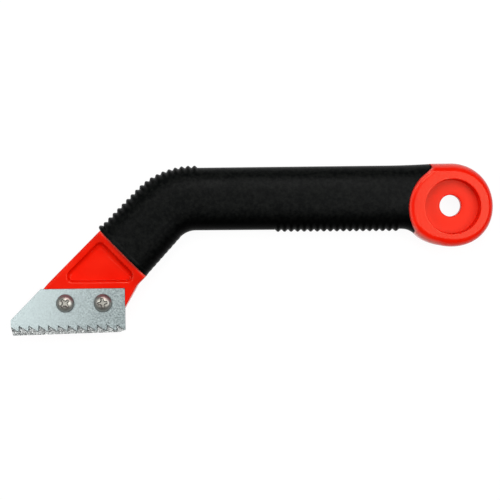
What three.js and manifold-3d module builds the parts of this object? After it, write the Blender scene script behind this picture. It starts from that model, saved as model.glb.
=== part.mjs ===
// Grout saw: a bent two-shot handle that carries a pair of flat saw blades on its nose.
// Millimetres. The tool lies on its side: X runs from the blade's toe to the hanging eye,
// Y runs up the tool as it is held, and Z is the tool's thickness, with the blades on top.
// Everything is laid out from the centre of the hanging hole, halfway through the thickness.
import * as THREE from "three";
import { mergeVertices } from "three/addons/utils/BufferGeometryUtils.js";
import Module from "manifold-3d";

const wasm = await Module();
wasm.setup();

// Clearances
const BOND_GAP = 0.3; // between the moulded core and the rubber moulded over it
const FACE_GAP = 0.05; // between flat faces that are clamped together
const SEAT_GAP = 0.25; // round the edge of the blades in their seat

// Hanging eye
const EYE_RADIUS = 18.4;
const EYE_RISE = 0.1; // the eye's outline is centred this far above its hole
const EYE_THICKNESS = 19;
const EYE_EDGE_WIDTH = 4; // how far the rounded edge reaches in from the rim
const EYE_EDGE_DEPTH = 6.5; // how far the rounded edge reaches down from each face
const EYE_RECESS_RADIUS = 12.1;
const EYE_RECESS_FILLET = 1;
const EYE_WEB = 5; // thickness left between the two recesses
const HOLE_RADIUS = 5;

// Neck, where the eye's outline runs into the grip's
const NECK_LENGTH = 24; // how far the eye's own plate is drawn out towards the grip
const NECK_TURN_X = -22; // the underside leaves its straight line here
const NECK_STEEP_X = -15.5; // and is steepest here
const NECK_STEEP_Y = -12.15;
const NECK_STEEP_SLOPE = -0.68;
const NECK_JOIN_X = -3.6; // where it runs into the eye's circle
const SLEEVE_END_RADIUS = 18.4; // the rubber stops round this circle
const SLEEVE_END_X = -0.5;
const SLEEVE_END_Y = -0.8;
const SLEEVE_LOBE = [-11.15, 14.2]; // where the rubber's edge leaves the circle near the back
const SLEEVE_TIP = [-8.1, 17.2]; // the corner of its rounded lobe
const SLEEVE_TOP = [-9.4, 18.4]; // and where it reaches the back
const SLEEVE_END_GAP = 0.06;

// Grip outline
const BACK_HEIGHT = 17.95; // the back's line above the hole's centre
const BACK_TAPER = 0.66; // degrees that the back falls towards the bend
const BACK_FLARE = 0.55; // how far the back rises again where it meets the eye
const BACK_FLARE_LENGTH = 21;
const BACK_FLARE_END = -8;
const BELLY_DROP = 10.65; // the straight underside below the hole's centre
const BACK_BEND_AT = 113.8; // from the hole's centre to where the back starts to bend
const BACK_BEND_RADIUS = 33;
const BACK_SLANT_ANGLE = 46;
const BACK_SLANT_LENGTH = 23.7;
const BELLY_BEND_AT = 111.3;
const BELLY_CATCH_UP = 30; // stretch over which the belly's stations come level with the back's
const BELLY_BEND_RADIUS = 9.8;
const BELLY_SLANT_ANGLE = 47.6;
const BELLY_SLANT_LENGTH = 22.1;

// Rubber sleeve
const SLEEVE_THICKNESS = 18.4;
const SLEEVE_WALL = 2.8; // rubber over the core's back and belly
const SLEEVE_ROUNDNESS = 2.8; // exponent of the superellipse that shapes the section
const FRONT_LIP_INSET = 0.7;
const FRONT_LIP_LENGTH = 0.4;
const RIB_RISE = 0.95; // a rib's tip above the smooth outline
const RIB_GULLET = 0.25; // a gullet's floor below it
const RIB_STEPS = 4; // stations along each rib
const RIB_PITCH = 2.82;
const FRONT_BEAD_WIDTH = 1.95;
const FRONT_BEAD_RISE = 1.25;
const BACK_RIB_LENGTH = 50.8; // ribbed stretch of the back, from the front bead
const BELLY_SLANT_RIB_SHARE = 0.14; // the slanted belly's ribs are this much of full height
const BELLY_RIB_FROM = 77; // ribbed stretch of the straight belly, from the hole's centre
const BELLY_RIB_TO = 22.4;
const RIB_RUN_OUT = 1; // from the last rib to the smooth outline
const NECK_STEP = 1.6; // between the stations of the smooth neck
const RIB_FADE_FROM = 0.6; // share of the half thickness at which the ribs start to fade
const RIB_FADE_TO = 0.92;

// Moulded core under the sleeve: an I-beam with windows that key the rubber to it
const SPINE_THICKNESS = 11.6;
const SPINE_ROOT = 2.6; // how far the spine runs on into the nose
const SPINE_WEB = 4;
const SPINE_FLANGE = 3;
const SPINE_RIB = 3; // cross rib between two pockets
const SPINE_POCKETS = 4;
const SPINE_POCKETS_FROM = 105.5;
const SPINE_POCKETS_TO = 23.5;
const SPINE_END = 13; // the spine runs into the eye, this far short of the hole's centre
const POCKET_CORNER = 1.5;
const KEY_RADIUS = 3.2; // window through the web in each pocket
const SLANT_POCKET_LENGTH = 15;

// Nose
const NOSE_THICKNESS = 12;
const NOSE_BACK_ANGLE = 45.5;
const NOSE_BACK_INSET = 0.4; // the nose's back edge lies this far inside the sleeve's
const NOSE_TOE_EASE = 3.5; // the back's line steepens over this last stretch to the blades
const NOSE_DEPTH = 49.5; // the nose's lower edge below the hole's centre
const NOSE_HEEL_DROP = 5.8; // down the belly's line from the sleeve to the corner of the heel
const NOSE_HEEL_ANGLE = 61;
const NOSE_CORNER = 3;
const NOSE_EDGE = 0.7; // rounding of the nose's edges
const CURVE_STEPS = 6; // along each rounded corner
const NOSE_SETBACK = 1.1; // the plate behind the blades ends this far short of their toe
const PANEL_DEPTH = 3.0; // sunk triangular panel on each side of the nose
const PANEL_BORDER_BACK = 3.5;
const PANEL_BORDER_SLEEVE = 3.2;
const PANEL_BORDER_SEAT = 3.4;
const PANEL_CORNER = 1.7;

// Blades
const BLADE_THICKNESS = 1.2;
const BLADE_LENGTH = 50;
const BLADE_BACK_LENGTH = 36.8;
const BLADE_TOE_HEIGHT = 13.4; // where the slanted toe ends, below the blade's back
const BLADE_CORNER = 0.6;
const BLADE_HEEL_X = 142.5; // the heel's upper corner, from the hole's centre
const BLADE_HEEL_Y = 36.16;
const GULLET_HEIGHT = 16; // gullets' roots below the blade's back
const TOOTH_DEPTH = 2.6;
const TOOTH_PITCH = 4.27;
const TOOTH_RAKE = 0.25;
const FIRST_TIP = 3.9; // first tooth's tip, from the heel
const GRIT_TOE_HEIGHT = 20.3;
const GRIT_HEEL_HEIGHT = 19.1;
const GRIT_TOE_CHAMFER = 0.9;
const GRIT_HEEL_CHAMFER = 2.4;

// Blade fasteners, M4 pan-head screws with hexagon nuts
const SCREW_DIAMETER = 3.9;
const SCREW_LENGTH = 12;
const SCREW_HEAD_DIAMETER = 8;
const SCREW_HEAD_HEIGHT = 2.6;
const SCREW_HEAD_RIM = 0.5;
const SCREW_POINT = 0.5; // chamfer at the screw's end
const CROSS_WIDTH = 4.4;
const CROSS_ARM = 0.95;
const CROSS_DEPTH = 1.9;
const SCREW_FROM_HEEL = 9.6;
const SCREW_PITCH = 16.4;
const SCREW_FROM_BACK = 6.3;
const SCREW_HOLE_CLEARANCE = 0.3;
const NUT_WIDTH = 7;
const NUT_THICKNESS = 3.2;
const NUT_BORE_CLEARANCE = 0.2;
const NUT_POCKET_CLEARANCE = 0.25;
const NUT_INSET = 0.4; // the nut's outer face below the nose's back face

const rad = THREE.MathUtils.degToRad;
const EYE_HALF = EYE_THICKNESS / 2;
const SPINE_HALF = SPINE_THICKNESS / 2;
const SLEEVE_HALF = SLEEVE_THICKNESS / 2;
const NOSE_HALF = NOSE_THICKNESS / 2;
const OVERCUT = 2; // how far a cutter runs past the face it cuts

// Solids and meshes

function solidOf(geometry) {
  const bare = geometry.index ? geometry.toNonIndexed() : geometry.clone();
  bare.deleteAttribute("normal");
  bare.deleteAttribute("uv");
  const merged = mergeVertices(bare, 1e-4);
  return new wasm.Manifold(new wasm.Mesh({
    numProp: 3,
    vertProperties: new Float32Array(merged.attributes.position.array),
    triVerts: new Uint32Array(merged.index.array),
  }));
}

function geometryOf(solid) {
  const mesh = solid.getMesh();
  const geometry = new THREE.BufferGeometry();
  geometry.setAttribute("position", new THREE.BufferAttribute(mesh.vertProperties, 3));
  geometry.setIndex(new THREE.BufferAttribute(mesh.triVerts, 1));
  geometry.computeVertexNormals();
  return geometry;
}

// A flat plate of the given outline between two heights.
function plate(shape, low, high, curveSegments = CURVE_STEPS) {
  const options = { depth: high - low, bevelEnabled: false, curveSegments };
  return new THREE.ExtrudeGeometry(shape, options).translate(0, 0, low);
}

// A plate centred on the middle plane whose outline rolls over to both faces.
function roundedPlate(shape, thickness, edgeWidth, edgeDepth, curveSegments, bevelSegments) {
  const depth = thickness - 2 * edgeDepth;
  return new THREE.ExtrudeGeometry(shape, {
    depth,
    bevelThickness: edgeDepth,
    bevelSize: edgeWidth,
    bevelOffset: -edgeWidth,
    bevelSegments,
    curveSegments,
  }).translate(0, 0, -depth / 2);
}

// A solid of revolution about Z from [radius, height] pairs that start and end on the axis.
function turned(profile, segments = 32) {
  const points = profile.map(([r, z]) => new THREE.Vector2(r, z));
  return new THREE.LatheGeometry(points, segments).rotateX(Math.PI / 2);
}

function shapeFrom(points) {
  return new THREE.Shape(points.map(([x, y]) => new THREE.Vector2(x, y)));
}

// A polygon with its corners rounded. Each corner is [x, y, radius].
function roundedShape(corners, steps = 4) {
  const points = [];
  corners.forEach(([x, y, radius], i) => {
    const here = new THREE.Vector2(x, y);
    if (!radius) {
      points.push(here);
      return;
    }
    const before = corners[(i + corners.length - 1) % corners.length];
    const after = corners[(i + 1) % corners.length];
    const back = new THREE.Vector2(before[0] - x, before[1] - y).normalize();
    const on = new THREE.Vector2(after[0] - x, after[1] - y).normalize();
    const half = Math.acos(THREE.MathUtils.clamp(back.dot(on), -1, 1)) / 2;
    const centre = here.clone().add(back.clone().add(on).normalize().multiplyScalar(radius / Math.sin(half)));
    const from = here.clone().addScaledVector(back, radius / Math.tan(half)).sub(centre);
    const to = here.clone().addScaledVector(on, radius / Math.tan(half)).sub(centre);
    const start = from.angle();
    let sweep = to.angle() - start;
    if (sweep > Math.PI) sweep -= 2 * Math.PI;
    if (sweep < -Math.PI) sweep += 2 * Math.PI;
    for (let k = 0; k <= steps; k++) {
      const a = start + (sweep * k) / steps;
      points.push(new THREE.Vector2(centre.x + radius * Math.cos(a), centre.y + radius * Math.sin(a)));
    }
  });
  return new THREE.Shape(points);
}

// A skin through closed rings of the same number of points, with a fan over each end.
function loft(rings) {
  const count = rings[0].length;
  const points = rings.flat();
  const faces = [];
  for (let i = 0; i + 1 < rings.length; i++) {
    for (let j = 0; j < count; j++) {
      const a = i * count + j;
      const b = i * count + ((j + 1) % count);
      faces.push(a, b, a + count, b, b + count, a + count);
    }
  }
  [0, rings.length - 1].forEach((ring, end) => {
    const middle = new THREE.Vector3();
    rings[ring].forEach((p) => middle.addScaledVector(p, 1 / count));
    points.push(middle);
    for (let j = 0; j < count; j++) {
      const a = ring * count + j;
      const b = ring * count + ((j + 1) % count);
      faces.push(...(end ? [a, b, points.length - 1] : [b, a, points.length - 1]));
    }
  });
  return new THREE.BufferGeometry().setFromPoints(points).setIndex(faces);
}

// Grip outline: a station is the pair of points where one cut crosses the back and the belly

const BACK_SLOPE = Math.tan(rad(BACK_TAPER));
const BACK_BEND_ANGLE = rad(BACK_SLANT_ANGLE - BACK_TAPER);
const BACK_BEND_LENGTH = BACK_BEND_RADIUS * BACK_BEND_ANGLE;

function backHeight(x) {
  const flare = Math.max(0, 1 + (x - BACK_FLARE_END) / BACK_FLARE_LENGTH);
  return BACK_HEIGHT + x * BACK_SLOPE + BACK_FLARE * flare ** 2;
}

// Height at x on the cubic that leaves one point and reaches the next at given slopes.
function cubicHeight(x, [x0, y0, slope0], [x1, y1, slope1]) {
  const span = x1 - x0;
  const t = (x - x0) / span;
  const rise = y0 + (y1 - y0) * t * t * (3 - 2 * t);
  return rise + span * t * (1 - t) * (slope0 * (1 - t) - slope1 * t);
}

const NECK_JOIN_DROP = Math.sqrt(EYE_RADIUS ** 2 - NECK_JOIN_X ** 2);
const NECK_TURN = [NECK_TURN_X, -BELLY_DROP, 0];
const NECK_STEEP = [NECK_STEEP_X, NECK_STEEP_Y, NECK_STEEP_SLOPE];
const NECK_JOIN = [NECK_JOIN_X, EYE_RISE - NECK_JOIN_DROP, NECK_JOIN_X / NECK_JOIN_DROP];

function bellyHeight(x) {
  if (x <= NECK_TURN_X) return -BELLY_DROP;
  return x < NECK_STEEP_X ? cubicHeight(x, NECK_TURN, NECK_STEEP) : cubicHeight(x, NECK_STEEP, NECK_JOIN);
}

// The belly bends nearer the eye than the back does, so its stations lead there and then fall level.
function straightStation(x) {
  const share = THREE.MathUtils.clamp((x + BACK_BEND_AT) / BELLY_CATCH_UP, 0, 1);
  const bellyX = x + (BACK_BEND_AT - BELLY_BEND_AT) * (1 - share);
  return { back: new THREE.Vector2(x, backHeight(x)), belly: new THREE.Vector2(bellyX, bellyHeight(bellyX)) };
}

// A point on an arc that leaves a line running towards -X and turns down by the given angle.
function onBend(x, y, radius, startAngle, angle) {
  const centreX = x + radius * Math.sin(startAngle);
  const centreY = y - radius * Math.cos(startAngle);
  return new THREE.Vector2(centreX - radius * Math.sin(angle), centreY + radius * Math.cos(angle));
}

function bendStation(t) {
  const backY = backHeight(-BACK_BEND_AT);
  const backAngle = rad(BACK_TAPER) + t * BACK_BEND_ANGLE;
  const bellyAngle = t * rad(BELLY_SLANT_ANGLE);
  return {
    back: onBend(-BACK_BEND_AT, backY, BACK_BEND_RADIUS, rad(BACK_TAPER), backAngle),
    belly: onBend(-BELLY_BEND_AT, -BELLY_DROP, BELLY_BEND_RADIUS, 0, bellyAngle),
  };
}

function along(point, angle, length) {
  return new THREE.Vector2(point.x - length * Math.cos(rad(angle)), point.y - length * Math.sin(rad(angle)));
}

function slantStation(t) {
  const end = bendStation(1);
  return {
    back: along(end.back, BACK_SLANT_ANGLE, t * BACK_SLANT_LENGTH),
    belly: along(end.belly, BELLY_SLANT_ANGLE, t * BELLY_SLANT_LENGTH),
  };
}

// The station at a length measured along the back from the sleeve's front end.
function stationFromFront(length) {
  if (length < BACK_SLANT_LENGTH) return slantStation(1 - length / BACK_SLANT_LENGTH);
  const beyond = length - BACK_SLANT_LENGTH;
  if (beyond < BACK_BEND_LENGTH) return bendStation(1 - beyond / BACK_BEND_LENGTH);
  return straightStation(-BACK_BEND_AT + beyond - BACK_BEND_LENGTH);
}

const FRONT = slantStation(1);

// Handle core

// The eye's plate is drawn out into the grip, so that its outline runs on into the sleeve's.
function eyePlate() {
  const outline = [];
  const lengthSteps = 8;
  for (let i = 0; i < lengthSteps; i++) {
    const x = THREE.MathUtils.lerp(-NECK_LENGTH, NECK_JOIN_X, i / lengthSteps);
    outline.push([x, bellyHeight(x)]);
  }
  const joinAngle = Math.atan2(-NECK_JOIN_DROP, NECK_JOIN_X);
  const turn = Math.PI / 2 - joinAngle;
  const roundSteps = 34;
  for (let i = 0; i <= roundSteps; i++) {
    const a = joinAngle + (turn * i) / roundSteps;
    outline.push([EYE_RADIUS * Math.cos(a), EYE_RISE + EYE_RADIUS * Math.sin(a)]);
  }
  for (const x of [BACK_FLARE_END, BACK_FLARE_END * 2, -NECK_LENGTH]) outline.push([x, backHeight(x)]);
  const edge = [EYE_EDGE_WIDTH, EYE_EDGE_DEPTH];
  return solidOf(roundedPlate(shapeFrom(outline), EYE_THICKNESS, ...edge, CURVE_STEPS, 5));
}

// The space that the sleeve leaves to the eye: round most of the way, then out to the back.
function eyeSpace(grow) {
  const height = EYE_HALF + OVERCUT;
  let round = cylinder(SLEEVE_END_RADIUS + grow, -height, height, 72);
  round = round.translate([SLEEVE_END_X, SLEEVE_END_Y, 0]);
  const above = SLEEVE_TOP[1] + OVERCUT;
  const edge = [SLEEVE_LOBE, SLEEVE_TIP, SLEEVE_TOP].map(([x, y]) => [x - grow, y]);
  const lobe = shapeFrom([[0, 0], [0, above], [SLEEVE_TOP[0] - grow, above], ...edge.reverse()]);
  return round.add(solidOf(plate(lobe, -height, height))).add(beyondEye(height));
}

// Everything past the eye's middle, where there is no rubber.
function beyondEye(height) {
  const reach = EYE_RADIUS + OVERCUT;
  const outline = shapeFrom([[0, -reach], [reach, -reach], [reach, reach], [0, reach]]);
  return solidOf(plate(outline, -height, height));
}

// One recess, cut from the face at EYE_HALF down to the web.
function eyeRecess() {
  const floor = EYE_WEB / 2;
  const wall = EYE_RECESS_RADIUS;
  const steps = 4;
  const profile = [[0, floor]];
  for (let i = 0; i <= steps; i++) {
    const a = (i / steps) * (Math.PI / 2);
    const radius = wall - EYE_RECESS_FILLET * (1 - Math.sin(a));
    profile.push([radius, floor + EYE_RECESS_FILLET * (1 - Math.cos(a))]);
  }
  profile.push([wall, EYE_HALF + OVERCUT], [0, EYE_HALF + OVERCUT]);
  return solidOf(turned(profile, 48));
}

function cylinder(radius, low, high, segments = 24) {
  return solidOf(turned([[0, low], [radius, low], [radius, high], [0, high]], segments));
}

// The spine's outline is the grip's, drawn in by the rubber's thickness.
function spineOutline(grow) {
  const inset = SLEEVE_WALL - grow;
  const bendSteps = 6;
  const stations = [slantStation(1 + SPINE_ROOT / BACK_SLANT_LENGTH)];
  for (let i = bendSteps; i >= 0; i--) stations.push(bendStation(i / bendSteps));
  const straight = [-BELLY_RIB_FROM, NECK_TURN_X, NECK_STEEP_X, grow - SPINE_END];
  stations.push(...straight.map(straightStation));
  const towards = (from, to) => to.clone().sub(from).normalize().multiplyScalar(inset).add(from);
  const back = stations.map((s) => towards(s.back, s.belly));
  const belly = stations.map((s) => towards(s.belly, s.back));
  return new THREE.Shape([...back.reverse(), ...belly]);
}

// Pockets that turn the spine into an I-beam, as outlines and the centres of their windows.
function spinePockets(shrink) {
  const side = SLEEVE_WALL + SPINE_FLANGE;
  const span = (SPINE_POCKETS_FROM - SPINE_POCKETS_TO + SPINE_RIB) / SPINE_POCKETS;
  const corner = Math.max(0.2, POCKET_CORNER - shrink);
  const pockets = [];
  for (let i = 0; i < SPINE_POCKETS; i++) {
    const left = -SPINE_POCKETS_FROM + i * span + shrink;
    const right = -SPINE_POCKETS_FROM + (i + 1) * span - SPINE_RIB - shrink;
    const top = (x) => backHeight(x) - side - shrink;
    const bottom = -BELLY_DROP + side + shrink;
    const outline = [[left, bottom], [right, bottom], [right, top(right)], [left, top(left)]];
    const middle = (left + right) / 2;
    pockets.push({
      shape: roundedShape(outline.map(([x, y]) => [x, y, corner])),
      key: [middle, (top(middle) + bottom) / 2],
    });
  }
  const halfLength = SLANT_POCKET_LENGTH / 2 / BACK_SLANT_LENGTH;
  const near = slantStation(0.5 - halfLength);
  const far = slantStation(0.5 + halfLength);
  const lengthwise = far.back.clone().sub(near.back).normalize();
  const crosswise = near.belly.clone().sub(near.back).normalize();
  const pick = (station, edge, endwards) => {
    const point = station[edge].clone();
    point.addScaledVector(crosswise, (edge === "back" ? 1 : -1) * (side + shrink));
    point.addScaledVector(lengthwise, endwards * shrink);
    return [point.x, point.y, corner];
  };
  const ring = [pick(near, "back", 1), pick(far, "back", -1), pick(far, "belly", -1), pick(near, "belly", 1)];
  pockets.push({
    shape: roundedShape(ring),
    key: [ring.reduce((s, p) => s + p[0], 0) / 4, ring.reduce((s, p) => s + p[1], 0) / 4],
  });
  return pockets;
}

// The spine alone, swelled by grow on every face so that the same form cuts the sleeve.
function spine(grow) {
  const half = SPINE_HALF + grow;
  const webHalf = SPINE_WEB / 2 + grow;
  let body = solidOf(plate(spineOutline(grow), -half, half));
  for (const { shape, key } of spinePockets(grow)) {
    for (const [low, high] of [[webHalf, half + OVERCUT], [-half - OVERCUT, -webHalf]]) {
      body = body.subtract(solidOf(plate(shape, low, high)));
    }
    const window = cylinder(KEY_RADIUS - grow, -webHalf - OVERCUT, webHalf + OVERCUT, 16);
    body = body.subtract(window.translate([...key, 0]));
  }
  return body;
}

// Blade axes: u runs from the heel to the toe along the blade's back, w runs down to the teeth.
const BLADE_AXIS = rad(BACK_TAPER);

function onBlade(u, w) {
  const x = -BLADE_HEEL_X - u * Math.cos(BLADE_AXIS) + w * Math.sin(BLADE_AXIS);
  const y = -BLADE_HEEL_Y - u * Math.sin(BLADE_AXIS) - w * Math.cos(BLADE_AXIS);
  return [x, y];
}

const SEAT_FLOOR = NOSE_HALF - 2 * (BLADE_THICKNESS + FACE_GAP);
const SCREWS_ALONG = [SCREW_FROM_HEEL + SCREW_PITCH, SCREW_FROM_HEEL];
const SCREW_PLACES = SCREWS_ALONG.map((u) => onBlade(u, SCREW_FROM_BACK));

// Where two lines cross, each given by a point and the angle at which it falls towards -X.
function crossing(p, angleP, q, angleQ) {
  const dp = new THREE.Vector2(-Math.cos(rad(angleP)), -Math.sin(rad(angleP)));
  const dq = new THREE.Vector2(-Math.cos(rad(angleQ)), -Math.sin(rad(angleQ)));
  const t = ((q.x - p.x) * dq.y - (q.y - p.y) * dq.x) / (dp.x * dq.y - dp.y * dq.x);
  return p.clone().addScaledVector(dp, t);
}

function noseOutline() {
  const bottom = new THREE.Vector2(0, -NOSE_DEPTH);
  const heel = along(FRONT.belly, BELLY_SLANT_ANGLE, NOSE_HEEL_DROP);
  const heelFoot = crossing(heel, NOSE_HEEL_ANGLE, bottom, 0);
  const toeTop = new THREE.Vector2(...onBlade(BLADE_BACK_LENGTH, -SEAT_GAP));
  const backTop = FRONT.back.clone();
  backTop.addScaledVector(FRONT.belly.clone().sub(FRONT.back).normalize(), NOSE_BACK_INSET);
  const corner = crossing(backTop, NOSE_BACK_ANGLE, toeTop, BACK_TAPER);
  const ease = along(corner, NOSE_BACK_ANGLE, -NOSE_TOE_EASE);
  const setback = new THREE.Vector2(...onBlade(BLADE_BACK_LENGTH - NOSE_SETBACK, 0));
  const toeAngle = Math.atan2(BLADE_TOE_HEIGHT, BLADE_LENGTH - BLADE_BACK_LENGTH);
  const toeFoot = crossing(setback, THREE.MathUtils.radToDeg(toeAngle) + BACK_TAPER, bottom, 0);
  return roundedShape([
    [FRONT.belly.x, FRONT.belly.y, 0],
    [backTop.x, backTop.y, 0],
    [ease.x, ease.y, 0],
    [setback.x, setback.y, 0],
    [toeFoot.x, toeFoot.y, NOSE_CORNER],
    [heelFoot.x, heelFoot.y, NOSE_CORNER],
    [heel.x, heel.y, NOSE_CORNER],
  ]);
}

// The sunk panel keeps a border along the nose's back, the sleeve and the blade seat.
function panelOutline() {
  const backNormal = rad(NOSE_BACK_ANGLE);
  const backLine = FRONT.back.clone().add(
    new THREE.Vector2(Math.sin(backNormal), -Math.cos(backNormal)).multiplyScalar(PANEL_BORDER_BACK),
  );
  const frontDirection = FRONT.belly.clone().sub(FRONT.back).normalize();
  const frontAngle = THREE.MathUtils.radToDeg(Math.atan2(frontDirection.y, frontDirection.x)) + 180;
  const awayFromSleeve = new THREE.Vector2(frontDirection.y, -frontDirection.x);
  const sleeveLine = FRONT.back.clone().addScaledVector(awayFromSleeve, PANEL_BORDER_SLEEVE);
  const seatLine = new THREE.Vector2(...onBlade(0, -PANEL_BORDER_SEAT));
  const apex = crossing(backLine, NOSE_BACK_ANGLE, sleeveLine, frontAngle);
  const toe = crossing(backLine, NOSE_BACK_ANGLE, seatLine, BACK_TAPER);
  const heel = crossing(sleeveLine, frontAngle, seatLine, BACK_TAPER);
  return roundedShape([apex, toe, heel].map((p) => [p.x, p.y, PANEL_CORNER]));
}

function hexagon(width) {
  const corner = width / 2 / Math.cos(Math.PI / 6);
  const points = Array.from({ length: 6 }, (_, i) => {
    const a = (i * Math.PI) / 3;
    return [corner * Math.cos(a), corner * Math.sin(a)];
  });
  return shapeFrom(points);
}

function nose() {
  let body = solidOf(roundedPlate(noseOutline(), NOSE_THICKNESS, NOSE_EDGE, NOSE_EDGE, CURVE_STEPS, 2));
  const panel = panelOutline();
  body = body.subtract(solidOf(plate(panel, NOSE_HALF - PANEL_DEPTH, NOSE_HALF + OVERCUT)));
  body = body.subtract(solidOf(plate(panel, -NOSE_HALF - OVERCUT, -NOSE_HALF + PANEL_DEPTH)));

  const reach = BLADE_LENGTH + OVERCUT;
  const seat = shapeFrom([
    onBlade(-SEAT_GAP, -SEAT_GAP),
    onBlade(-SEAT_GAP, reach),
    onBlade(reach, reach),
    onBlade(reach, -SEAT_GAP),
  ]);
  body = body.subtract(solidOf(plate(seat, SEAT_FLOOR, NOSE_HALF + OVERCUT)));

  const holeRadius = SCREW_DIAMETER / 2 + SCREW_HOLE_CLEARANCE;
  const pocketTop = -NOSE_HALF + NUT_INSET + NUT_THICKNESS + FACE_GAP;
  const pocketShape = hexagon(NUT_WIDTH + 2 * NUT_POCKET_CLEARANCE);
  for (const [x, y] of SCREW_PLACES) {
    const hole = cylinder(holeRadius, -NOSE_HALF - OVERCUT, NOSE_HALF + OVERCUT, 20);
    const pocket = solidOf(plate(pocketShape, -NOSE_HALF - OVERCUT, pocketTop));
    body = body.subtract(hole.translate([x, y, 0])).subtract(pocket.translate([x, y, 0]));
  }
  return body;
}

function handleCore() {
  let body = eyePlate().intersect(eyeSpace(0)).add(spine(0)).add(nose());
  body = body.subtract(eyeRecess()).subtract(eyeRecess().mirror([0, 0, 1]));
  return body.subtract(cylinder(HOLE_RADIUS, -EYE_HALF, EYE_HALF, 32));
}

// Rubber sleeve

// The ribs run across the rounded edge and fade out towards the flat sides.
function ribWeight(height) {
  return 1 - THREE.MathUtils.smoothstep(Math.abs(height) / SLEEVE_HALF, RIB_FADE_FROM, RIB_FADE_TO);
}

// One section of the sleeve: a superellipse from the belly to the back, with any rib added.
function sleeveRing({ back, belly, backRib = 0, bellyRib = 0, inset = 0 }) {
  const count = 20;
  const middle = back.clone().add(belly).multiplyScalar(0.5);
  const up = back.clone().sub(belly);
  const halfHeight = up.length() / 2 - inset;
  up.normalize();
  const power = 2 / SLEEVE_ROUNDNESS;
  const bulge = (value) => Math.sign(value) * Math.abs(value) ** power;
  return Array.from({ length: count }, (_, j) => {
    const a = (j / count) * 2 * Math.PI;
    const z = (SLEEVE_HALF - inset) * bulge(Math.sin(a));
    const side = Math.cos(a) > 0 ? backRib : -bellyRib;
    const across = Math.abs(Math.cos(a)) < 1e-9 ? 0 : side * ribWeight(z);
    const height = halfHeight * bulge(Math.cos(a)) + across;
    return new THREE.Vector3(middle.x + up.x * height, middle.y + up.y * height, z);
  });
}

// Stations of a ribbed stretch, as shares of its length, each with the rib's height there.
function ribPattern(length) {
  const total = Math.round(length / RIB_PITCH) * RIB_STEPS;
  return Array.from({ length: total + 1 }, (_, i) => {
    const swell = 0.5 - 0.5 * Math.cos((2 * Math.PI * i) / RIB_STEPS);
    return [i / total, (RIB_RISE + RIB_GULLET) * swell - RIB_GULLET];
  });
}

function sleeveStations() {
  const stations = [
    { ...stationFromFront(FACE_GAP), inset: FRONT_LIP_INSET },
    { ...stationFromFront(FRONT_LIP_LENGTH), backRib: FRONT_BEAD_RISE },
    { ...stationFromFront((FRONT_LIP_LENGTH + FRONT_BEAD_WIDTH) / 2), backRib: FRONT_BEAD_RISE },
  ];
  for (const [share, rise] of ribPattern(BACK_RIB_LENGTH)) {
    const length = FRONT_BEAD_WIDTH + share * BACK_RIB_LENGTH;
    const onSlant = length < BACK_SLANT_LENGTH;
    const bellyRib = onSlant ? rise * BELLY_SLANT_RIB_SHARE : 0;
    stations.push({ ...stationFromFront(length), backRib: rise, bellyRib });
  }
  const ribsEnd = FRONT_BEAD_WIDTH + BACK_RIB_LENGTH;
  stations.push(stationFromFront(ribsEnd + RIB_RUN_OUT), straightStation(-BACK_BEND_AT + BELLY_CATCH_UP));
  stations.push(straightStation(-BELLY_RIB_FROM - RIB_RUN_OUT));
  const stretch = BELLY_RIB_FROM - BELLY_RIB_TO;
  for (const [share, rise] of ribPattern(stretch)) {
    stations.push({ ...straightStation(-BELLY_RIB_FROM + share * stretch), bellyRib: rise });
  }
  const neckEnd = SLEEVE_TIP[0] + NECK_STEP;
  for (let x = NECK_TURN_X; x < neckEnd; x += NECK_STEP) stations.push(straightStation(x));
  return stations;
}

function gripSleeve() {
  const skin = solidOf(loft(sleeveStations().map(sleeveRing)));
  return skin.subtract(eyeSpace(SLEEVE_END_GAP)).subtract(spine(BOND_GAP));
}

// Blades

function bladeHoles(shape) {
  for (const [x, y] of SCREW_PLACES) {
    const hole = new THREE.Path();
    hole.absarc(x, y, SCREW_DIAMETER / 2 + SCREW_HOLE_CLEARANCE, 0, 2 * Math.PI, true);
    shape.holes.push(hole);
  }
  return shape;
}

function bladeBack() {
  const corners = [[0, 0], [BLADE_BACK_LENGTH, 0], [BLADE_LENGTH, BLADE_TOE_HEIGHT]];
  return corners.map(([u, w]) => [u, w, BLADE_CORNER]);
}

// Rip teeth: each has an upright face towards the handle, so that the saw cuts on the pull.
function toothedOutline() {
  const tipHeight = GULLET_HEIGHT + TOOTH_DEPTH;
  const flank = TOOTH_PITCH - TOOTH_RAKE;
  const teeth = Math.floor((BLADE_LENGTH - FIRST_TIP) / TOOTH_PITCH) + 1;
  const lastGullet = FIRST_TIP + teeth * TOOTH_PITCH - TOOTH_RAKE;
  const toeShare = (lastGullet - BLADE_LENGTH) / flank;
  const heelShare = Math.min(1, (FIRST_TIP - TOOTH_RAKE) / flank);
  const corners = [...bladeBack(), [BLADE_LENGTH, GULLET_HEIGHT + TOOTH_DEPTH * toeShare, 0]];
  for (let i = teeth - 1; i >= 0; i--) {
    const tip = FIRST_TIP + i * TOOTH_PITCH;
    corners.push([tip, tipHeight, 0], [tip - TOOTH_RAKE, GULLET_HEIGHT, 0]);
  }
  corners.push([0, GULLET_HEIGHT + TOOTH_DEPTH * heelShare, 0]);
  return corners;
}

// The second blade has a straight edge that carries the carbide grit.
function gritOutline() {
  return [
    ...bladeBack(),
    [BLADE_LENGTH, GULLET_HEIGHT + TOOTH_DEPTH / 4, 0],
    [BLADE_LENGTH - GRIT_TOE_CHAMFER, GRIT_TOE_HEIGHT, 0],
    [GRIT_HEEL_CHAMFER, GRIT_HEEL_HEIGHT, 0],
    [0, GRIT_HEEL_HEIGHT - GRIT_HEEL_CHAMFER / 2.5, 0],
  ];
}

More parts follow.
